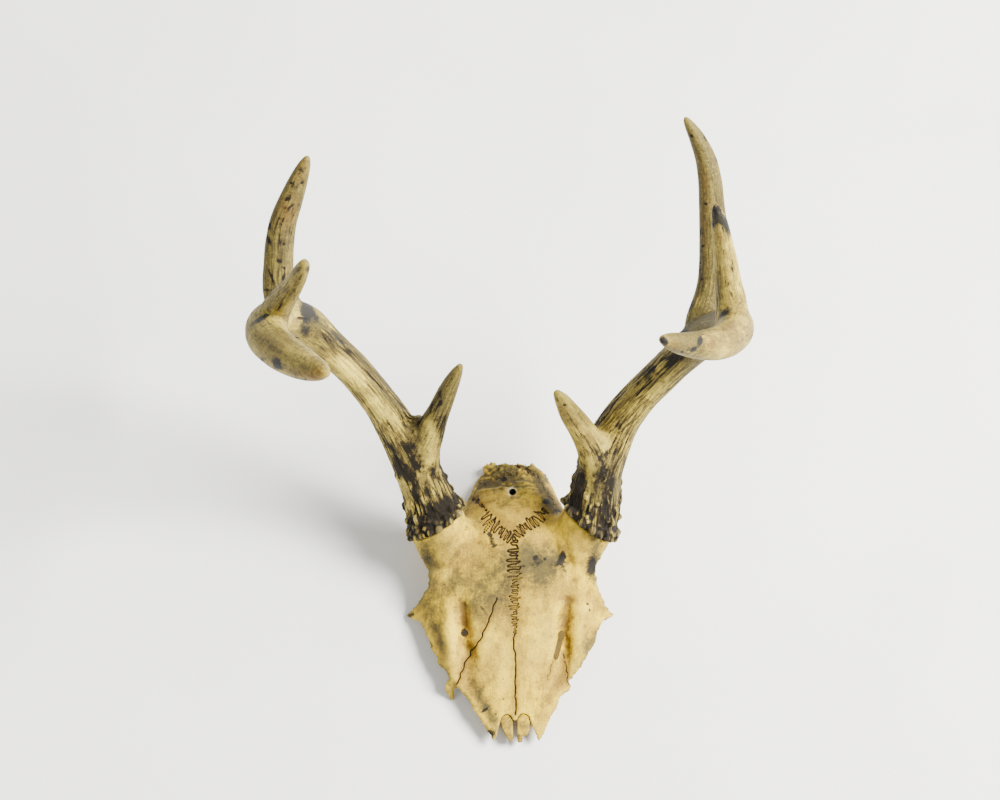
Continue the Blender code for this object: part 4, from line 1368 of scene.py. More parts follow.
    def work(self, skin: Skin) -> None:
        """Carve the seams, roughen the edges, and store what the finish needs.

        Args:
            skin: The plate's fused surface.
        """
        self.fillet(skin)
        places = skin.places.copy()
        columns, rows = lies(places)
        outer = step(*self.facing, skin.normals[:, 2])
        swell, grit, torn, patch, speck = (
            Noise(self.seed + row).layered(places / cell, layers)
            for row, (cell, layers) in enumerate(self.noises))

        # The nape's torn edge, and the chipped rims
        nape = step(*self.nape, places[:, 1])
        dome = step(*self.dome, places[:, 1])
        margin = self.half_width(places[:, 0], places[:, 1]) - np.abs(places[:, 0])
        rim = (1 - step(*self.chipped_rim, margin)) * (places[:, 1] < self.rim_end)
        front = 1 - step(*self.chipped_front, places[:, 1])
        height = 0.35 * swell * outer + 0.06 * grit
        height += nape * 1.7 * np.clip(torn + 0.15, -0.9, 0.9) + 0.5 * dome * swell
        height += (rim + front) * (0.8 * torn + 0.4 * grit) * (1 - outer * 0.4)

        cut, line, halo, ridge_light = self.carve(places, outer)
        height -= cut
        for pit in self.pits:
            height -= self.pit_depth * outer * pit.cover(columns, rows, 0.3 * speck)
        height += outer * self.muscle_line(columns, rows)

        # The drill's chipped rim
        x, y, diameter = self.holes[0]
        from_hole = np.hypot(places[:, 0] - x, places[:, 1] - y)
        from_chip = np.hypot(places[:, 0] - x - self.chip_offset[0],
                             places[:, 1] - y - self.chip_offset[1])
        chip = outer * (1 - step(*self.chip_edge, from_chip + 0.5 * speck))
        height -= 0.5 * outer * bell(from_hole - diameter / 2, 0.7)
        skin.raise_by(height)
        above = (skin.places - (0, 0, self.saw_height)) @ self.saw_normal()
        skin.move(skin.places + np.clip(-above, 0, None)[:, None] * self.saw_normal())

        cavity = skin.cavity(self.fine_rounds)
        # Broad depth below the surroundings, used to paint shade into wide hollows and highlight
        # onto wide rises
        hollow = skin.cavity(self.broad_rounds)
        shown = Shown(columns, rows, outer, np.full(len(places), "skull"), 0.5 * speck + 0.3 * grit)
        given = shown.marked(self.marks, ("ink", "dirt", "ochre", "pale"))
        sawn = step(0.9, 0.97, -(skin.normals @ self.saw_normal())) * bell(above, 0.6)
        inner = (1 - outer) * (1 - sawn)
        # Painted light: ochre takes painted shade in broad hollows, and pale takes a painted
        # highlight on broad rises; some dirt, ochre and pale marks are painted shade or highlight
        # too.
        skin.keep_shares({
            "seam": line, "halo": halo, "ink": given["ink"], "chip": chip, "sawn": sawn,
            "dirt": given["dirt"] - 0.5 * nape * torn + dome * (0.25 + 0.4 * patch + 0.8 * speck)
            + 0.3 * inner + 0.4 * rim + 0.2 * patch + 0.12 * speck,
            "ochre": given["ochre"] + 0.3 * step(0.08, 0.6, cavity)
            + 0.08 * step(0.05, 0.9, hollow) + 0.12 * nape,
            "pale": given["pale"] + 0.12 * step(0.05, 0.25, -cavity)
            + 0.3 * step(0.05, 0.5, -hollow) + 0.7 * ridge_light * (1 - line)})
        skin.keep("skull", skin.places)

    def fillet(self, skin: Skin) -> None:
        """Fill the creases between dome and pedicles, and round the saddles beside the dome."""
        behind = step(*self.crest_join, skin.places[:, 1])
        columns, rows = lies(skin.places)
        saddle = sum(bell(np.hypot(columns - across, rows - down), self.saddle_reach)
                     for across, down in self.saddles)
        for lap in range(self.saddle_passes):
            skin.fill(behind if lap < self.fillet_passes else saddle, self.fillet_rounds)

    def carve(self, places: Array, outer: Array) -> Iterable[Array]:
        """Cut the sutures and cracks into the outer face.

        Args:
            places: The surface's points.
            outer: 1 where it faces out of the forehead.

        Returns:
            Depth of the cut at each point, and shares of line, stain beside it and pale rim.
        """
        tree, numbers, strengths = self.seam_tree()
        near = np.flatnonzero((outer > 0.1) & (np.abs(places[:, 0]) < self.seam_reach))
        cut, line, halo, ridge_light = np.zeros((4, len(places)))
        for index in near:
            _, row, gap = tree.find((places[index, 0], places[index, 1], 0.0))
            seam = self.seams[numbers[row]]
            halo[index] = math.exp(-gap / self.halo_reach) * seam.tint
            ridge_light[index] = (math.exp(-(gap / self.rim_reach) ** 2) * strengths[row]
                                  * seam.rim)
            if gap <= 3 * seam.width:
                profile = math.exp(-(gap / seam.width) ** 2) * strengths[row]
                line[index] = profile * seam.tint
                cut[index] = profile * seam.depth
        return cut, line, halo, ridge_light

    def muscle_line(self, columns: Array, rows: Array) -> Array:
        """Height of the line that the jaw's muscle leaves across the dome, by pixels."""
        course = np.array(self.muscle_course)
        crest = np.interp(columns, course[:, 0], course[:, 1])
        span = step(*self.muscle_start, columns) * (1 - step(*self.muscle_end, columns))
        return span * (0.7 * bell(rows - crest, 1.6) - 0.6 * bell(rows - crest + 3.4, 1.8))

    @staticmethod
    def saw_normal() -> Array:
        """Direction out of the saw cut, into the bone, as a unit vector."""
        up = np.array((0.0, -SAW_SLOPE, 1.0))
        return up / np.linalg.norm(up)


@dataclass
class NasalStub:
    """Broken end of a nose bone, a small tongue in the notch of the frontals."""

    side: str
    outline: Sequence[Pair]
    seed: int
    thickness: float = 3.6
    top: float = 11.0
    slope: float = -0.21
    grown: float = 0.3
    voxel: float = 0.35
    smoothing: int = 4
    torn_size: float = 1.8
    crown_reach: float = 2.4
    broken: Pair = (1.0, 4.5)
    low: Pair = (7.0, 9.4)

    def build(self) -> Item:
        """Build the stub in the skull's frame.

        Returns:
            Its object.
        """
        stub = Workshop.prism(self.outline, 0, self.thickness)
        stub.name = f"nasal_stub_{self.side}_bone"
        lean = Matrix.Identity(4)
        lean[2][1] = self.slope
        lift = Matrix.Translation(Vector((0, 0, self.top - self.thickness)) * MM)
        stub.data.transform(lift @ lean)
        Workshop.fuse(stub, self.voxel, self.smoothing)
        skin = Skin(stub)
        torn = Noise(self.seed).layered(skin.places / self.torn_size, 3)
        middle = np.mean([x for x, _ in self.outline])
        crown = bell(skin.places[:, 0] - middle, self.crown_reach)
        broken = 1 - step(*self.broken, skin.places[:, 1])
        skin.raise_by(self.grown + 0.22 * torn * (0.4 + broken) + 0.25 * (crown - 0.5)
                      * step(0.3, 0.8, skin.normals[:, 2]))
        cavity = skin.cavity(6)
        low = 1 - step(*self.low, skin.places[:, 2] - self.slope * skin.places[:, 1])
        none = np.zeros(len(skin.places))
        skin.keep_shares({
            "seam": none, "halo": 0.5 * low, "ink": none, "chip": none, "sawn": none,
            "dirt": 0.4 + 0.3 * broken + 0.4 * torn, "ochre": 0.4 * low + step(0.02, 0.12, cavity),
            "pale": 0.1 * step(0.03, 0.12, -cavity)})
        skin.keep("skull", skin.places)
        return stub


Operand = Union["Number", float]


class Socket:
    """An output of a node in a shader."""

    def __init__(self, graph: "Graph", socket: bpy.types.NodeSocket) -> None:
        """Wrap an output of a node of a graph."""
        self.graph = graph
        self.socket = socket


def operator(operation: str, swapped: bool = False) -> Callable[["Number", Operand], "Number"]:
    """Make a Python operator of numbers that adds a Math node.

    Args:
        operation: The node's operation.
        swapped: Whether the socket is the second of the two.

    Returns:
        The method.
    """
    def apply(self: "Number", other: Operand) -> "Number":
        """Add the node."""
        pair = (other, self) if swapped else (self, other)
        node = self.graph.node("ShaderNodeMath", {"operation": operation}, dict(enumerate(pair)))
        return Number(self.graph, node.outputs[0])
    return apply


class Number(Socket):
    """A number in a shader, so that sums are written as Python sums."""

    __add__, __radd__ = operator("ADD"), operator("ADD", True)
    __sub__, __rsub__ = operator("SUBTRACT"), operator("SUBTRACT", True)
    __mul__, __rmul__ = operator("MULTIPLY"), operator("MULTIPLY", True)

    def between(self, low: float, high: float) -> "Number":
        """Rise smoothly from 0 at low to 1 at high."""
        node = self.graph.node("ShaderNodeMapRange", {"interpolation_type": "SMOOTHSTEP"},
                               {"Value": self, "From Min": low, "From Max": high})
        return Number(self.graph, node.outputs[0])


class Tint(Socket):
    """A colour's socket in a shader."""

    def over(self, colour: Colour, share: Operand) -> "Tint":
        """Lay a share, from 0 to 1, of another colour over this one."""
        node = self.graph.node("ShaderNodeMix", {"data_type": "RGBA", "blend_type": "MIX"},
                               {0: share, 6: self, 7: colour})
        return Tint(self.graph, node.outputs[2])

    def coated(self, coats: Iterable[tuple[Colour, Operand]]) -> "Tint":
        """Lay colours over this one in turn, each by its share."""
        made = self
        for colour, share in coats:
            made = made.over(colour, share)
        return made


class Flow(Socket):
    """A vector's socket in a shader."""

    def __mul__(self, other: Triple) -> "Flow":
        """Stretch by a number for each axis."""
        node = self.graph.node("ShaderNodeVectorMath", {"operation": "MULTIPLY"},
                               {0: self, 1: other})
        return Flow(self.graph, node.outputs[0])


class Graph:
    """The node tree of one material."""

    def __init__(self, name: str) -> None:
        """Make a material with an empty shader.

        Args:
            name: The material's name.
        """
        self.material = bpy.data.materials.new(name)
        self.material.use_nodes = True
        self.tree = self.material.node_tree
        self.tree.nodes.clear()

    def node(self, kind: str, settings: dict[str, Any], sockets: dict[Any, Any]) -> Any:
        """Add a node.

        Args:
            kind: Its type.
            settings: What is set on the node before its sockets.
            sockets: Value or link of each input, by name or number.

        Returns:
            The node.
        """
        made = self.tree.nodes.new(kind)
        for key, value in settings.items():
            setattr(made, key, value)
        for key, value in sockets.items():
            if isinstance(value, Socket):
                self.tree.links.new(value.socket, made.inputs[key])
            elif isinstance(value, bpy.types.NodeSocket):
                self.tree.links.new(value, made.inputs[key])
            else:
                made.inputs[key].default_value = value
        return made

    def number(self, name: str) -> Number:
        """Read a number stored on the mesh."""
        made = self.node("ShaderNodeAttribute", {"attribute_name": name}, {})
        return Number(self, made.outputs[2])

    def flow(self, name: str) -> Flow:
        """Read a vector stored on the mesh."""
        made = self.node("ShaderNodeAttribute", {"attribute_name": name}, {})
        return Flow(self, made.outputs[1])

    def noise(self, where: Flow, scale: float, detail: float = 4.0, rough: float = 0.55) -> Number:
        """Read Blender's noise, 0 to 1: cells to the millimetre, layers and their strength."""
        made = self.node("ShaderNodeTexNoise", {}, {"Vector": where, "Scale": scale,
                                                    "Detail": detail, "Roughness": rough})
        return Number(self, made.outputs[0])

    def cells(self, where: Flow, scale: float) -> Number:
        """Read the distance from the nearest of scattered points."""
        made = self.node("ShaderNodeTexVoronoi", {}, {"Vector": where, "Scale": scale})
        return Number(self, made.outputs[0])

    def paint(self, colour: Colour) -> Tint:
        """Start from a plain colour."""
        made = self.node("ShaderNodeRGB", {}, {})
        made.outputs[0].default_value = colour
        return Tint(self, made.outputs[0])

    def finish(self, colour: Tint, roughness: Number, height: Number, bump: float,
               gloss: float) -> bpy.types.Material:
        """Close the material with its surface.

        Args:
            colour: Base colour.
            roughness: Roughness.
            height: Fine relief.
            bump: How strongly the relief shows.
            gloss: Specular level.

        Returns:
            The material.
        """
        relief = self.node("ShaderNodeBump", {}, {"Height": height, "Strength": bump,
                                                  "Distance": MM})
        surface = self.node("ShaderNodeBsdfPrincipled", {},
                            {"Base Color": colour, "Roughness": roughness,
                             "Specular IOR Level": gloss, "Normal": relief.outputs[0]})
        self.node("ShaderNodeOutputMaterial", {}, {"Surface": surface.outputs[0]})
        return self.material


def paint(red: int, green: int, blue: int) -> Colour:
    """Turn a colour as a screen shows it, 0 to 255, into the shader's own values."""
    shares = [channel / 255 for channel in (red, green, blue)]
    linear = [share / 12.92 if share <= 0.04045 else ((share + 0.055) / 1.055) ** 2.4
              for share in shares]
    return (*linear, 1.0)


@dataclass(frozen=True)
class AntlerFinish:
    """Weathered antler: pale ridges over tan, brown-black stain in the furrows."""

    ground: Colour = paint(141, 121, 56)
    ivory: Colour = paint(226, 202, 88)
    olive: Colour = paint(52, 49, 31)
    ochre: Colour = paint(115, 80, 32)
    stain: Colour = paint(24, 20, 15)
    brown: Colour = paint(58, 47, 25)
    tip: Colour = paint(120, 104, 50)
    ink: Colour = paint(28, 28, 29)
    bead: Colour = paint(182, 164, 104)
    bump: float = 0.6
    gloss: float = 0.15

    def material(self) -> bpy.types.Material:
        """Make the shader."""
        graph = Graph("antler")
        noise = graph.noise
        grain = graph.flow("grain")
        plain = graph.flow("skull")
        dark, fork, ink, knob, ochre, olive, pale, rough, sunk, tip = map(
            graph.number, ("dark", "fork", "ink", "knob", "ochre", "olive", "pale", "rough",
                           "sunk", "tip"))
        streaks = noise(grain * (1.0, 1.0, 0.035), 0.9, 5.0, 0.6)
        streaks = streaks + fork * (noise(plain, 0.35, 6.0, 0.6) - streaks)
        hairs = noise(grain * (1.0, 1.0, 0.04), 2.0, 3.0)
        hairs = hairs + fork * (noise(plain, 1.2, 3.0) - hairs)
        lines = noise(grain * (1.0, 1.0, 0.05), 0.62, 2.0)
        clouds = noise(plain, 0.08, 3.0)
        pores = noise(plain, 1.4, 2.0)
        speck = noise(plain, 0.75, 5.0, 0.75)
        dust = noise(plain, 1.5, 3.0, 0.7)
        groove = lines.between(0.43, 0.48) * (1 - lines.between(0.52, 0.57)) * (0.15 + rough)
        groove = groove * (1 - 0.9 * pale)
        stained = dark + (streaks - 0.5) * 1.7 + (hairs - 0.5) * 1.3 + (speck - 0.5) * 0.8
        edge = stained.between(0.45, 0.85)
        # The dark blots are stains, except one painted shadow in the fork of the left antler's
        # tines.
        blot = ink * 1.3 + (speck - 0.5) * 1.6 + (hairs - 0.5) * 0.6
        colour = graph.paint(self.ground).coated((
            (self.ivory, clouds.between(0.42, 0.64) * (0.7 - 0.5 * olive)),
            (self.olive, (olive + (streaks - 0.5) * 1.6).between(0.1, 0.9) * 0.85),
            (self.brown, (1 - hairs.between(0.36, 0.46)) * (0.5 - 0.45 * pale)),
            (self.ivory, (pale * 0.8 + hairs.between(0.54, 0.66) * 0.3) * (1 - 0.5 * tip)),
            (self.ivory, speck.between(0.51, 0.6) * (0.3 - 0.2 * olive)),
            (self.tip, tip * 0.25),
            (self.brown, dust.between(0.52, 0.6) * (0.3 + 0.5 * olive)),
            (self.ochre, ochre * streaks.between(0.3, 0.6) * 0.8),
            (self.brown, (1 - speck.between(0.36, 0.45)) * 0.55),
            (self.brown, sunk * 0.45),
            (self.brown, pores.between(0.64, 0.72) * 0.6),
            (self.brown, stained.between(0.18, 0.62) * 0.7),
            (self.brown, groove.between(0.15, 0.8) * 0.8),
            (self.stain, edge * 0.96),
            (self.bead, knob * speck.between(0.3, 0.5) * 0.8),
            (self.ink, blot.between(0.3, 1.05) * 0.97)))
        roughness = 0.64 + 0.12 * edge - 0.1 * tip - 0.04 * pale
        height = streaks * 0.24 + hairs * 0.14 - pores.between(0.62, 0.74) * 0.12 - edge * 0.12
        return graph.finish(colour, roughness, height - groove * 0.3, self.bump, self.gloss)


@dataclass(frozen=True)
class BoneFinish:
    """Old dry bone: warm ivory, orange-brown in its seams, olive dirt and dark blots, with painted
    shade and highlight in its dirt, ochre and pale layers.
    """

    ground: Colour = paint(184, 152, 48)
    light: Colour = paint(232, 194, 34)
    warm: Colour = paint(128, 99, 34)
    ochre: Colour = paint(92, 65, 27)
    dirt: Colour = paint(64, 60, 42)
    ink: Colour = paint(24, 24, 26)
    seam: Colour = paint(30, 22, 12)
    pale: Colour = paint(242, 210, 74)
    chip: Colour = paint(232, 220, 170)
    sawn: Colour = paint(168, 130, 60)
    pith: Colour = paint(76, 50, 20)
    bump: float = 0.6
    gloss: float = 0.12

    def material(self) -> bpy.types.Material:
        """Make the shader."""
        graph = Graph("bone")
        noise = graph.noise
        skull = graph.flow("skull")
        chip, dirt, halo, ink, ochre, pale, sawn, seam = map(
            graph.number, ("chip", "dirt", "halo", "ink", "ochre", "pale", "sawn", "seam"))
        clouds = noise(skull, 0.045, 3.0)
        blotches = noise(skull, 0.16, 5.0, 0.6)
        grains = noise(skull, 0.9, 6.0, 0.65)
        fibres = noise(skull * (1.0, 0.25, 0.3), 0.9, 5.0, 0.65)
        pores = noise(skull, 1.5, 2.0)
        grit = noise(skull, 1.15, 4.0, 0.75)
        pith = graph.cells(skull, 0.9)
        stir = (grains - 0.5) * 1.5 + (blotches - 0.5) * 1.2
        dots = (1 - graph.cells(skull, 0.34).between(0.07, 0.13)) * blotches.between(0.46, 0.54)
        blot = ink * 1.4 + (grains - 0.5) * 1.4 + (grit - 0.5) * 0.8
        colour = graph.paint(self.ground).coated((
            (self.light, (clouds + pale * 0.2).between(0.42, 0.66) * 0.8),
            (self.warm, blotches.between(0.42, 0.7) * 0.6),
            (self.warm, fibres.between(0.44, 0.7) * 0.55),
            (self.warm, (halo * 1.2).between(0.05, 0.9) * 0.8),
            # The ochre and dirt layers carry painted shade and the pale layer painted highlight,
            # besides stain, dirt and pale bone.
            (self.ochre, (ochre + stir * 0.6).between(0.05, 1.1) * 0.85),
            (self.dirt, (dirt + stir * 0.7).between(0.0, 1.05) * 0.9),
            (self.pale, pale * (1 - 0.7 * dirt) * 0.7),
            (self.dirt, grit.between(0.53, 0.64) * 0.38),
            (self.dirt, pores.between(0.6, 0.68) * 0.55),
            (self.seam, dots * 0.6),
            (self.chip, chip * 0.9),
            (self.sawn, sawn),
            (self.pith, sawn * (1 - pith.between(0.15, 0.5)) * 0.9),
            (self.ink, blot.between(0.3, 0.95) * 0.94),
            (self.ochre, seam.between(0.08, 0.5) * 0.8),
            (self.seam, seam.between(0.22, 0.62) * 0.95)))
        roughness = 0.66 + 0.1 * dirt - 0.04 * clouds
        height = grains * 0.3 + fibres * 0.2 - pores.between(0.6, 0.76) * 0.14
        return graph.finish(colour, roughness, height - sawn * pith * 0.5, self.bump, self.gloss)


@dataclass(frozen=True)
class Studio:
    """Pale floor, soft lamps, and the camera where the photograph was taken from."""

    floor: Colour = paint(250, 250, 247)
    floor_shade: Colour = paint(226, 227, 222)
    floor_size: float = 12.0
    world: float = 0.54

    # Square lamps: name, place and side in metres, power in watts, colour
    lamps: tuple[tuple[str, Triple, float, float, Triple], ...] = (
        ("window", (1.4, 0.1, 1.6), 0.9, 220.0, (1.0, 0.985, 0.95)),
        ("fill", (-1.5, -0.9, 1.5), 1.6, 20.0, (0.95, 0.98, 1.0)))
    aim: Triple = (0.0, 0.0, 0.1)

    def camera(self) -> None:
        """Look down on the forehead from the photograph's place."""
        data = bpy.data.cameras.new("camera")
        data.sensor_width = SENSOR_WIDTH
        view = MM_PER_PIXEL * PHOTO_SIZE[0]
        data.lens = SENSOR_WIDTH * CAMERA_DISTANCE / view
        item = bpy.data.objects.new("camera", data)
        bpy.context.scene.collection.objects.link(item)
        item.matrix_world = REST @ Matrix.Translation(
            Vector((*PHOTO_MIDDLE, CAMERA_DISTANCE)) * MM)
        bpy.context.scene.camera = item

    def ground(self) -> None:
        """Lay the floor."""
        build = bmesh.new()
        bmesh.ops.create_grid(build, x_segments=1, y_segments=1, size=self.floor_size / 2)
        item = Workshop.place("floor", build)
        graph = Graph("floor")
        where = Flow(graph, graph.node("ShaderNodeTexCoord", {}, {}).outputs[3])
        cloud = graph.noise(where, 3.0, 3.0)
        colour = graph.paint(self.floor).over(self.floor_shade, cloud.between(0.4, 0.7) * 0.4)
        item.data.materials.append(graph.finish(colour, 0.75 + 0.1 * cloud, cloud, 0.05, 0.25))

    def light(self) -> None:
        """Light it as a soft window from the upper right, with a weaker fill."""
        for name, place, size, power, colour in self.lamps:
            data = bpy.data.lights.new(name, "AREA")
            data.size, data.energy, data.color = size, power, colour
            item = bpy.data.objects.new(name, data)
            bpy.context.scene.collection.objects.link(item)
            heading = (Vector(self.aim) - Vector(place)).to_track_quat("-Z", "Y")
            item.matrix_world = (Matrix.Translation(Vector(place))
                                 @ heading.to_matrix().to_4x4())
        world = bpy.data.worlds.new("studio")
        world.use_nodes = True
        world.node_tree.nodes["Background"].inputs[0].default_value = (1.0, 1.0, 1.0, 1.0)
        world.node_tree.nodes["Background"].inputs[1].default_value = self.world
        bpy.context.scene.world = world

    def set_up(self) -> None:
        """Set up floor, lamps and camera."""
        self.ground()
        self.light()
        self.camera()


class Material(Enum):
    """The record's slots."""

    BONE = "bone"
    ANTLER = "antler"


RIGHT_BURR = ((-45, 122.5, -14.5), (-0.5, 0.82, 0.28))
LEFT_BURR = ((44, 123, -14.5), (0.58, 0.77, 0.28))

BEAM_RELIEF = ((0, 1), (4, 0.95), (6, 0.6), (8, 0.4), (10, 0.25), (16, 0.05))
BEAM_STAIN = ((0, 0.5), (3, 0.44), (5, 0.26), (6, 0.12), (9, 0.1), (11, 0.04), (16, 0))
RIGHT_OLIVE = ((0, 0.35), (5, 0.1), (8, 0.15), (10, 0.3), (12, 0.35), (16, 0.45))
LEFT_OLIVE = ((0, 0.7), (4, 0.6), (6, 0.42), (8.5, 0.8), (10.2, 0.9), (11.2, 0.15), (16, 0.3))
BROW_RELIEF = ((0, 0.3), (2, 0.35), (6, 0.1))
BROW_STAIN = ((0, 0.25), (2, 0.22), (6, 0.1))
RIGHT_BROW_OLIVE = ((0, 0.4), (2, 0.9), (6, 1.1))
LEFT_BROW_OLIVE = ((0, 0.3), (3, 0.15), (6, 0.5))
TINE_RELIEF = ((0, 0.4), (3, 0.22), (9, 0.1))
TINE_STAIN = ((0, 0.16), (5, 0.14), (10, 0.08))
TINE_OLIVE = ((0, 0.8), (10, 0.9))

RIGHT_BRANCHES = {
    "beam": Branch((
        (-44, 120, -16, 31, 32), (-46.2, 128, -12, 31, 32), (-49.3, 137.7, -7, 28, 29),
        (-53.7, 149.6, -1, 26, 27), (-58.7, 161.5, 5, 25, 26), (-64.9, 173.2, 12, 22.5, 25),
        (-74.9, 189.6, 25, 19.2, 22), (-88, 206.2, 37, 18.8, 21), (-100.8, 218.6, 49, 19.4, 21),
        (-111, 229.2, 66, 21, 21), (-120.5, 232.5, 86, 21.5, 20), (-127, 229, 108, 21.5, 20),
        (-125.5, 221.5, 130, 21, 19), (-115.5, 213, 152, 19.5, 17), (-103.8, 206.8, 172, 16.5, 14),
        (-95.2, 203.6, 186, 11.5, 10), (-91, 202.4, 193, 5.5, 5.5)),
        BEAM_RELIEF, BEAM_STAIN, RIGHT_OLIVE),
    "brow": Branch((
        (-52.6, 151, 1, 23, 21), (-50.6, 162, 10, 19.6, 18.4), (-47, 171.5, 18, 17.4, 15.6),
        (-41.8, 182.2, 27, 13, 13), (-36.1, 194.7, 38, 10.4, 11), (-31.6, 203.3, 46, 7, 7.5),
        (-29, 207.8, 50, 3.4, 3.6)), BROW_RELIEF, BROW_STAIN, RIGHT_BROW_OLIVE),
    "second": Branch((
        (-114.5, 230.5, 73, 17, 17), (-121, 236, 66, 19, 19), (-125.6, 248, 63, 17.4, 17.4),
        (-125.6, 262.1, 66, 16.2, 16), (-124.8, 272.6, 68, 15.6, 15.5),
        (-122.8, 283.6, 70, 14.6, 14.5), (-118.8, 294, 73, 13, 13), (-114.3, 304.8, 76, 10.3, 10.6),
        (-110.9, 312.4, 79, 7, 7.2), (-108.9, 316.5, 81, 3.6, 3.6)),
        TINE_RELIEF, TINE_STAIN, TINE_OLIVE),
    "third": Branch((
        (-126, 228.5, 106, 18, 18), (-121.5, 235.3, 122, 15.4, 15.5),
        (-115.5, 241.2, 138, 12.4, 13), (-108.6, 247.6, 156, 9.6, 10),
        (-104.1, 253.4, 168, 7.4, 7.6), (-102.6, 256, 173, 4.6, 4.6)),
        TINE_RELIEF, TINE_STAIN, ((0, 0.6), (5, 0.5)))}

LEFT_BRANCHES = {
    "beam": Branch((
        (43, 120.5, -16, 31, 32), (44.6, 128.5, -12, 31, 32), (46, 138.8, -7, 28, 29),
        (48, 150.2, -1, 26, 27), (51.7, 163.1, 5, 25.5, 26), (58.8, 177.6, 13, 22.5, 25),
        (69.3, 191.6, 25, 19.6, 22), (79.5, 202.4, 36, 19.2, 21), (90.1, 213.2, 50, 19.6, 21),
        (100.1, 222.3, 66, 21, 21), (108.3, 227, 86, 20, 20), (112.4, 228.2, 108, 19, 19),
        (110.6, 223.5, 128, 18.5, 18.5), (103, 218.4, 146, 17.9, 17), (93.3, 216.3, 160, 15.8, 15),
        (81.4, 216.5, 174, 11.2, 11.6), (74, 217.7, 183, 8, 8.4), (69.8, 218.5, 188, 4.2, 4.4)),
        BEAM_RELIEF, BEAM_STAIN, LEFT_OLIVE),
    "brow": Branch((
        (47, 145, -1, 20, 20), (45.6, 155, 8, 19, 18), (42.3, 164, 18, 16.6, 16),
        (37.2, 172.8, 26, 14.6, 14.6), (30.3, 182.2, 36, 12, 12), (25.7, 189.3, 43, 8.2, 8.4),
        (22.6, 193.4, 48, 4, 4)), BROW_RELIEF, BROW_STAIN, LEFT_BROW_OLIVE),
    "second": Branch((
        (97, 219, 62, 16, 16), (101.4, 231, 63, 21, 18.4), (105, 246, 62, 18.2, 17),
        (106.1, 258.6, 63, 16.6, 16), (105.9, 272.9, 64, 15.6, 15), (105.4, 284, 65, 14.9, 14.5),
        (104.6, 294.6, 66, 13.7, 13.7), (103.6, 305.5, 68, 12.8, 12.8),
        (101.3, 316.5, 70, 11.3, 11.3), (96.8, 326.7, 73, 8.8, 9), (92.4, 333.9, 75, 5.8, 6),
        (90, 337.6, 76, 3.2, 3.2)), TINE_RELIEF, TINE_STAIN, TINE_OLIVE),
    "third": Branch((
        (112, 226, 106, 19, 18), (110, 240.3, 116, 15.8, 15), (108, 248.2, 122, 14, 13.4),
        (106, 258.3, 130, 12.2, 11.8), (103.7, 267.9, 138, 10.4, 10), (101.3, 277.8, 146, 8.2, 8.2),
        (99.7, 282.9, 150, 6, 6), (99.1, 285.3, 152, 3.6, 3.6)),
        TINE_RELIEF, TINE_STAIN, ((0, 0.2), (7, 0.3)))}

RIGHT_WEBS = (((-53, 174.6, 17), 5.2, (0, 0.67, -0.74), 1.6),
              ((-55.4, 174, 16), 4.6, (0, 0.67, -0.74), 1.6),
              ((-54, 176, 17.6), 4.4, (0, 0.67, -0.74), 1.3))

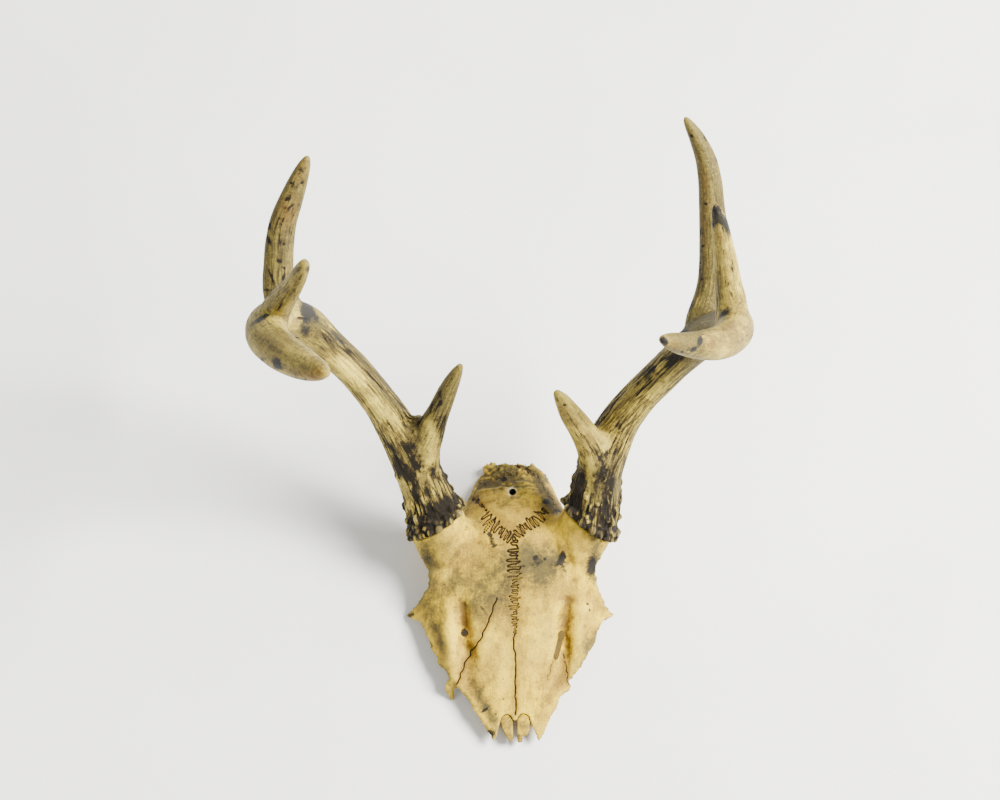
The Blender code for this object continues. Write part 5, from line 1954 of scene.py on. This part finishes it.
RIGHT_MARKS = grouped({
    "dark base brow": (
     (406, 446, 15, 11, -30, 0.62), (392, 455, 27, 4.5, -60, 0.35), (398, 470, 14, 5, -62, 0.4),
     (416, 484, 16, 2.4, -68), (404, 473, 8, 3, -60, 0.3), (414, 465, 10, 4, -62, 0.55),
     (427, 491, 11, 3.5, -80), (445, 474, 16, 4, -76, 0.6), (433, 472, 7, 2.6, -80, 0.45),
     (445, 503, 16, 7, 20, 0.6), (433, 521, 22, 12, 30, 0.45), (423, 427, 9, 5, 0, 0.35),
     (408, 470, 14, 6, -68, 0.2)),
    "pale base brow": ((407, 494, 22, 6, -74, 0.25), (430, 442, 24, 8, 86)),
    "dark brow": (
     (441, 403, 3, 2, 90, 0.6), (443, 428, 18, 3, 80, 0.6), (438, 401, 14, 4, 70, 0.3)),
    "pale beam base": ((350, 374, 20, 8, -44, 0.8), (382, 410, 26, 7, -46, 0.6)),
    "olive beam base": (
     (366, 364, 40, 9, -49, 1), (390, 395, 26, 8, -50, 1), (330, 338, 26, 12, -42, 0.9),
     (416, 424, 14, 9, -20)),
    "dark beam base": (
     (345, 393, 27, 3.5, -48), (328, 346, 24, 9, -34, 0.3), (344, 346, 26, 2, -44),
     (382, 384, 34, 6, -49, 0.25), (372, 418, 16, 2.5, -48, 0.4)),
    "ink beam": (
     (308, 312, 13, 8.5, -52, 1.2), (305, 330, 12, 7, -80, 0.8), (336, 338, 20, 7, -35, 0.6),
     (322, 348, 9, 4, -30, 0.6), (350, 388, 18, 4, -46, 0.45)),
    "ink beam_end": (
     (309, 312, 9, 8, -60, 1.3), (262, 318, 17, 3.6, 34, 0.9), (277, 363, 7, 5.5, -60, 1.2),
     (262, 360, 4, 3, -60, 0.8), (291, 372, 16, 4, -25), (304, 367, 8, 4, 30, 0.45)),
    "ochre beam_end": ((304, 376, 22, 6, -12, 0.7), (318, 373, 9, 5, 20, 0.9)),
    "olive beam_end": ((285, 345, 40, 24, -30, 0.15),),
    # The weak mark at (318, 366) is painted shade on the beam end's tip; the other two are stains.
    "dark beam_end": (
     (300, 379, 10, 2, -10, 0.4), (289, 306, 7, 1.2, 88, 0.8), (318, 366, 10, 5, 25, 0.3)),
    "dark second": (
     (288, 199, 3, 1.6, 20, 0.9), (269, 226, 4, 3, 80, 0.7), (269, 241, 6, 2, -70, 0.8),
     (284, 244, 1.8, 1.4, 0, 0.9), (279, 261, 3, 2, -30, 0.7), (284, 268, 3, 1.6, -30, 0.7),
     (283, 278, 5, 2, 80, 0.7), (271, 276, 12, 1.2, -66, 0.9), (266, 290, 5, 1.6, 0, 0.9),
     (302, 170, 5, 4, 60, 0.35), (291, 183, 1.6, 1.4, 0, 0.8), (302, 183, 1.6, 1.4, 0, 0.8),
     (280, 222, 6, 4, 80, 0.3), (290, 210, 60, 13, 78, 0.25)),
    "ochre second": ((287, 212, 18, 10, 75, 0.6), (300, 172, 16, 6, 65)),
    "dark third": ((298, 274, 12, 5, 60, 0.3),),
    "ink third": ((298, 269, 6, 3.5, 40, 0.6), (308, 269, 5, 3, 80, 0.7)),
    "pale beam_end": ((289, 322, 10, 7, -60, 0.3),)})

LEFT_MARKS = grouped({
    "dark base brow": (
     (599, 455, 8, 4, -70, 0.6), (608, 452, 7, 3.5, 60, 0.6), (602, 472, 14, 7, 80, 0.4),
     (605, 507, 14, 6, 85, 0.45), (579, 488, 20, 5.5, 75, 0.6), (574, 503, 10, 7, 60),
     (592, 527, 20, 13, -45, 0.4), (607, 442, 5, 1.6, 20, 0.8), (612, 478, 20, 3, 85, 0.3)),
    "pale base brow": (
     (590, 521, 8, 5, -40), (590, 474, 28, 4.5, 88, 0.35), (610, 438, 14, 6, 50, 0.4),
     (598, 434, 12, 5, -50, 0.3)),
    "olive base": ((596, 486, 34, 22, 88, 0.4),),
    "dark beam": (
     (610, 424, 17, 5, 32, 0.75), (621, 405, 8, 2.4, 40, 0.75), (634, 387, 9, 2.4, 40, 0.75),
     (648, 375, 12, 8, 45, 0.7), (670, 362, 22, 10, 30, 0.8), (636, 424, 17, 1.6, 47, 0.6),
     (612, 404, 26, 4, 52, 0.35), (652, 384, 20, 4, 42, 0.35)),
    "pale beam": ((645, 402, 30, 6, 42),),
    # The blot at (724, 313) is a painted shadow where the tines fork from the beam; the other marks
    # here are dark stains.
    "ink beam_end": (
     (664, 341, 6, 4.5, -60, 1.3), (700, 341, 6.4, 3.4, 80, 1.1), (694, 349, 6, 3, 25, 1),
     (682, 352, 2.6, 2, 20, 0.9), (724, 313, 10, 6, 30, 0.8)),
    "ochre beam_end": (
     (710, 341, 8, 7, -10, 0.55), (674, 343, 10, 6, -10, 0.4), (728, 335, 26, 16, 30, 0.35),
     (696, 318, 22, 10, 30, 0.3)),
    "olive beam beam_end": ((692, 324, 26, 12, 25, 0.9),),
    "olive beam_end": ((686, 345, 18, 10, 0, 0.7), (722, 334, 44, 26, 20, 0.25)),
    "olive third": ((716, 290, 40, 6, -84), (713, 205, 10, 8, 0, 0.9)),
    "pale beam_end": ((722, 350, 12, 8, 30, 0.35),),
    # The blot at (726, 312) is the same painted shadow in the fork; the other marks here are dark
    # stains.
    "ink third": (
     (714, 221, 10, 6, 85, 0.75), (722, 217, 10, 6, -60, 0.7), (727, 229, 9, 5, -70, 0.85),
     (713, 208, 6, 3, 70), (726, 312, 9, 6, 30, 0.7), (731, 294, 6, 2, -65, 0.7)),
    "ochre third": ((717, 206, 7, 6, 80, 0.9), (720, 236, 5, 8, 0, 0.7)),
    "dark third": ((732, 269, 3, 1.2, -70, 0.7), (714, 206, 10, 8), (719, 219, 12, 10, 80, 0.4)),
    # The blot at (715, 313) is that painted shadow in the fork too.
    "ink second": ((715, 313, 6, 6, 30), (690, 306, 9, 3.4, 70, 0.9)),
    "pale third": ((725, 292, 4, 3, 80, 0.3),),
    "dark second": (
     (692, 136, 1.5, 1.4, 0, 1), (717, 159, 3, 1.3, -70, 0.8), (706, 204, 1.8, 1.3, -40, 1),
     (703, 246, 1.5, 1.5, 0, 1), (700, 263, 1.2, 1.2, 0, 0.9), (702, 279, 1.3, 1.2, 0, 0.9)),
    "ink beam": ((684, 331, 7, 3, 10, 0.9), (647, 373, 9, 6, 45, 0.6), (672, 357, 12, 5, 25)),
    "ochre second": ((704, 180, 22, 3, -80), (703, 230, 50, 6, 88, 0.3)),
    "ochre brow": ((572, 421, 18, 3, -55, 0.7), (590, 435, 14, 6, -50)),
    "dark brow": ((573, 421, 12, 1.6, -55), (564, 405, 2.2, 1.6, 0, 0.6))})

SKULL_MARKS = grouped({
    "ink skull": (
     (562, 558, 9, 4.5, 80, 0.95), (564, 569, 6, 2.6, -60, 0.6), (592, 566, 13, 6, 80, 0.95),
     (536, 562, 12, 9, 20), (554, 565, 6, 5), (535, 557, 3, 2.4), (545, 559, 1.5, 1.3, 0, 0.8),
     (523, 566, 3, 2, 0, 0.55), (492, 541, 9, 3.4, -75, 0.72), (489, 534, 3.5, 3, 0, 0.6),
     (467, 528, 5, 3.5, 80, 0.45), (427, 557, 12, 6, 70, 0.45), (500, 545, 7, 2, 10),
     (504, 479, 4, 2.6, -10, 0.95), (499, 470, 4, 3), (546, 502, 5, 3, 0, 0.95),
     (559, 511, 8, 4, 10, 0.8), (511, 536, 9, 5, 25, 0.55), (410, 616, 8, 3.5, 40, 0.7),
     (430, 643, 9, 2.6, -60, 0.6), (483, 609, 6, 1.4, -50, 0.7), (495, 629, 3, 1.1, -45, 0.6),
     (485, 710, 6, 1.7, 35, 0.85), (496, 714, 2, 1.4, 0, 0.7), (503, 679, 1.3, 1.2, 0, 0.8),
     (503, 699, 1.3, 1.2, 0, 0.8), (491, 734, 7, 6, 40, 0.8), (587.5, 604, 2.4, 1.3, -50, 0.95),
     (589.5, 610, 2.4, 1.1, -60, 0.9), (470, 503, 2.5, 1.3, -20, 0.8),
     (476, 502.5, 2.4, 1.4, 40, 0.9), (480.5, 505.5, 2.6, 1.3, -35, 0.9)),
    # Besides dirt, the marks down the left margin, beside both pedicles and at the nose's lower
    # left are painted shade.
    "dirt skull": (
     (428, 574, 30, 12, -80, 0.8), (432, 612, 28, 12, -60), (594, 536, 12, 9, -60, 0.9),
     (594, 562, 22, 10, 80, 0.9), (530, 562, 30, 26, 0, 0.8), (556, 510, 16, 9, 0, 0.8),
     (434, 530, 16, 9, 60, 0.7), (486, 580, 40, 32, 60, 0.65), (512, 477, 42, 13, 0, 0.6),
     (474, 494, 8, 10, 0, 0.6), (482, 700, 32, 7, -58), (590, 650, 26, 9, 62, 0.8),
     (518, 722, 30, 9, 0, 0.3), (440, 552, 24, 20), (510, 600, 40, 12, 88, 0.3),
     (546, 584, 22, 18, 60), (514, 500, 34, 14, 0, 0.3), (482, 604, 20, 14, 70, 0.4),
     (582, 640, 26, 8, 62, 0.3), (530, 560, 22, 20, 0, 0.3), (458, 516, 18, 6, -40, 0.4),
     (476, 520, 10, 7, -40, 0.6), (575, 582, 16, 6, -70, 0.25), (440, 640, 26, 6, -62, 0.6),
     (596, 640, 20, 5, 65, 0.4), (476, 668, 7, 5, 0, 0.4), (490, 486, 13, 3.4, 8, 0.75),
     (510, 474, 9, 2.2, 20, 0.6), (542, 487, 15, 7, -60, 0.45), (513, 468, 28, 5),
     (418, 606, 16, 6, 50, 0.3), (576, 650, 10, 6, 60, 0.25), (596, 590, 14, 8, -70, 0.3),
     (450, 582, 16, 10, 60), (446, 672, 14, 5, -60, 0.7), (545, 478, 16, 12, -40, 0.8),
     (546, 498, 10, 7, -60, 0.6), (556, 560, 12, 16), (488, 712, 22, 6, -62)),
    # Besides stain, the marks in the grooves above the holes and along the nose's lower sides are
    # painted shade.
    "ochre skull": (
     (565, 608, 18, 5, 80, 0.4), (556, 506, 10, 6, 40, 0.6), (498, 527, 18, 8, -35),
     (530, 526, 20, 8, 25, 0.45), (473, 496, 8, 5, 40, 0.6), (510, 536, 14, 7, 20, 0.6),
     (536, 478, 12, 6, -40, 0.6), (486, 483, 12, 3, 10, 0.6), (464, 617, 18, 3, -83, 1),
     (471, 650, 16, 6, -65, 0.6), (462, 606, 26, 9, -80, 0.35), (574, 604, 26, 10, 75, 0.3),
     (567, 614, 20, 3, 82, 1.1), (568, 640, 18, 4, -86, 0.8), (503, 590, 40, 9, 85),
     (470, 560, 30, 20, 60, 0.3), (476, 690, 40, 7, -58), (552, 690, 40, 6, 60, 0.4),
     (510, 600, 34, 5, 90, 0.4), (514, 526, 30, 9, 0, 0.35), (491, 491, 13, 2.4, 8, 0.6),
     (535, 496, 9, 6, 20, 0.35), (570, 520, 14, 6, -15), (592, 545, 16, 4, -50, 0.3),
     (462, 605, 12, 4, 60, 0.3), (558, 690, 24, 6, 60, 0.3), (480, 715, 24, 5, -60, 0.3),
     (546, 655, 26, 4, 70, 0.2), (545, 622, 26, 20, 80, 0.28), (540, 541, 22, 12, 0, 0.3),
     (581, 622, 24, 9, -70, 0.34), (490, 688, 34, 15, -60, 0.25), (480, 535, 18, 12, 0, 0.2)),
    # The wide pale marks down the middle of the nose, at (505, 668), (538, 640) and (489, 642), are
    # painted highlight where the bone faces the light.
    "pale skull": (
     (458, 589, 4, 3, 60, 0.6), (588, 607, 6, 5), (505, 668, 32, 11, 86),
     (538, 640, 36, 11, 86, 0.45), (489, 642, 20, 8, 70, 0.4), (449, 622, 22, 6, -86, 0.35),
     (470, 520, 22, 6, 30, 0.3), (507, 491, 4, 2.4, 60, 0.8))})

RIGHT_STUB = ((-7.1, 10.6), (-6.4, 12.9), (-4.1, 14.1), (-1.9, 13), (-1.1, 10.6), (-0.9, 4),
              (-1.2, -0.4), (-2.6, 0.4), (-4.8, 3.4), (-6.5, 7.2))
LEFT_STUB = ((1.9, 10.6), (2.6, 13.1), (5.2, 14.4), (7.7, 13.1), (8.5, 10.6), (8.2, 6),
             (7.2, 3.4), (4.6, 2.8), (4.2, -0.4), (2.4, -0.5), (1.9, 4))


def show(item: Item, finish: bpy.types.Material,
         nodes: Iterable[str]) -> None:
    """Dress a finished piece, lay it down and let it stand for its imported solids.

    Args:
        item: The piece, still in the skull's frame.
        finish: Its material.
        nodes: Names of the solids that it stands for.
    """
    item.data.materials.clear()
    item.data.materials.append(finish)
    item.data.shade_smooth()
    Workshop.lay(item)
    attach(item, "root")
    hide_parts(*nodes)
    log.info("%s: %d faces", item.name, len(item.data.polygons))


def main() -> None:
    """Build the specimen and its studio."""
    logging.basicConfig(level=logging.INFO, format="%(message)s")
    bone = BoneFinish().material()
    horn = AntlerFinish().material()
    plate = SkullPlate(SKULL_MARKS, (RIGHT_BURR, LEFT_BURR))
    show(plate.build(), bone,
         ("frontal_right", "frontal_left", "parietal", "occipital", "lacrimal_right"))
    for stub in (NasalStub("right", RIGHT_STUB, 61), NasalStub("left", LEFT_STUB, 62)):
        show(stub.build(), bone, [f"nasal_stub_{stub.side}"])
    for antler in (Antler("right", RIGHT_BURR, RIGHT_BRANCHES, (6.4, 10.6), RIGHT_MARKS, 11,
                          RIGHT_WEBS),
                   Antler("left", LEFT_BURR, LEFT_BRANCHES, (6.4, 10.5), LEFT_MARKS, 23)):
        show(antler.build(), horn, antler.node_names())
    Studio().set_up()


if __name__ == "__main__":
    main()
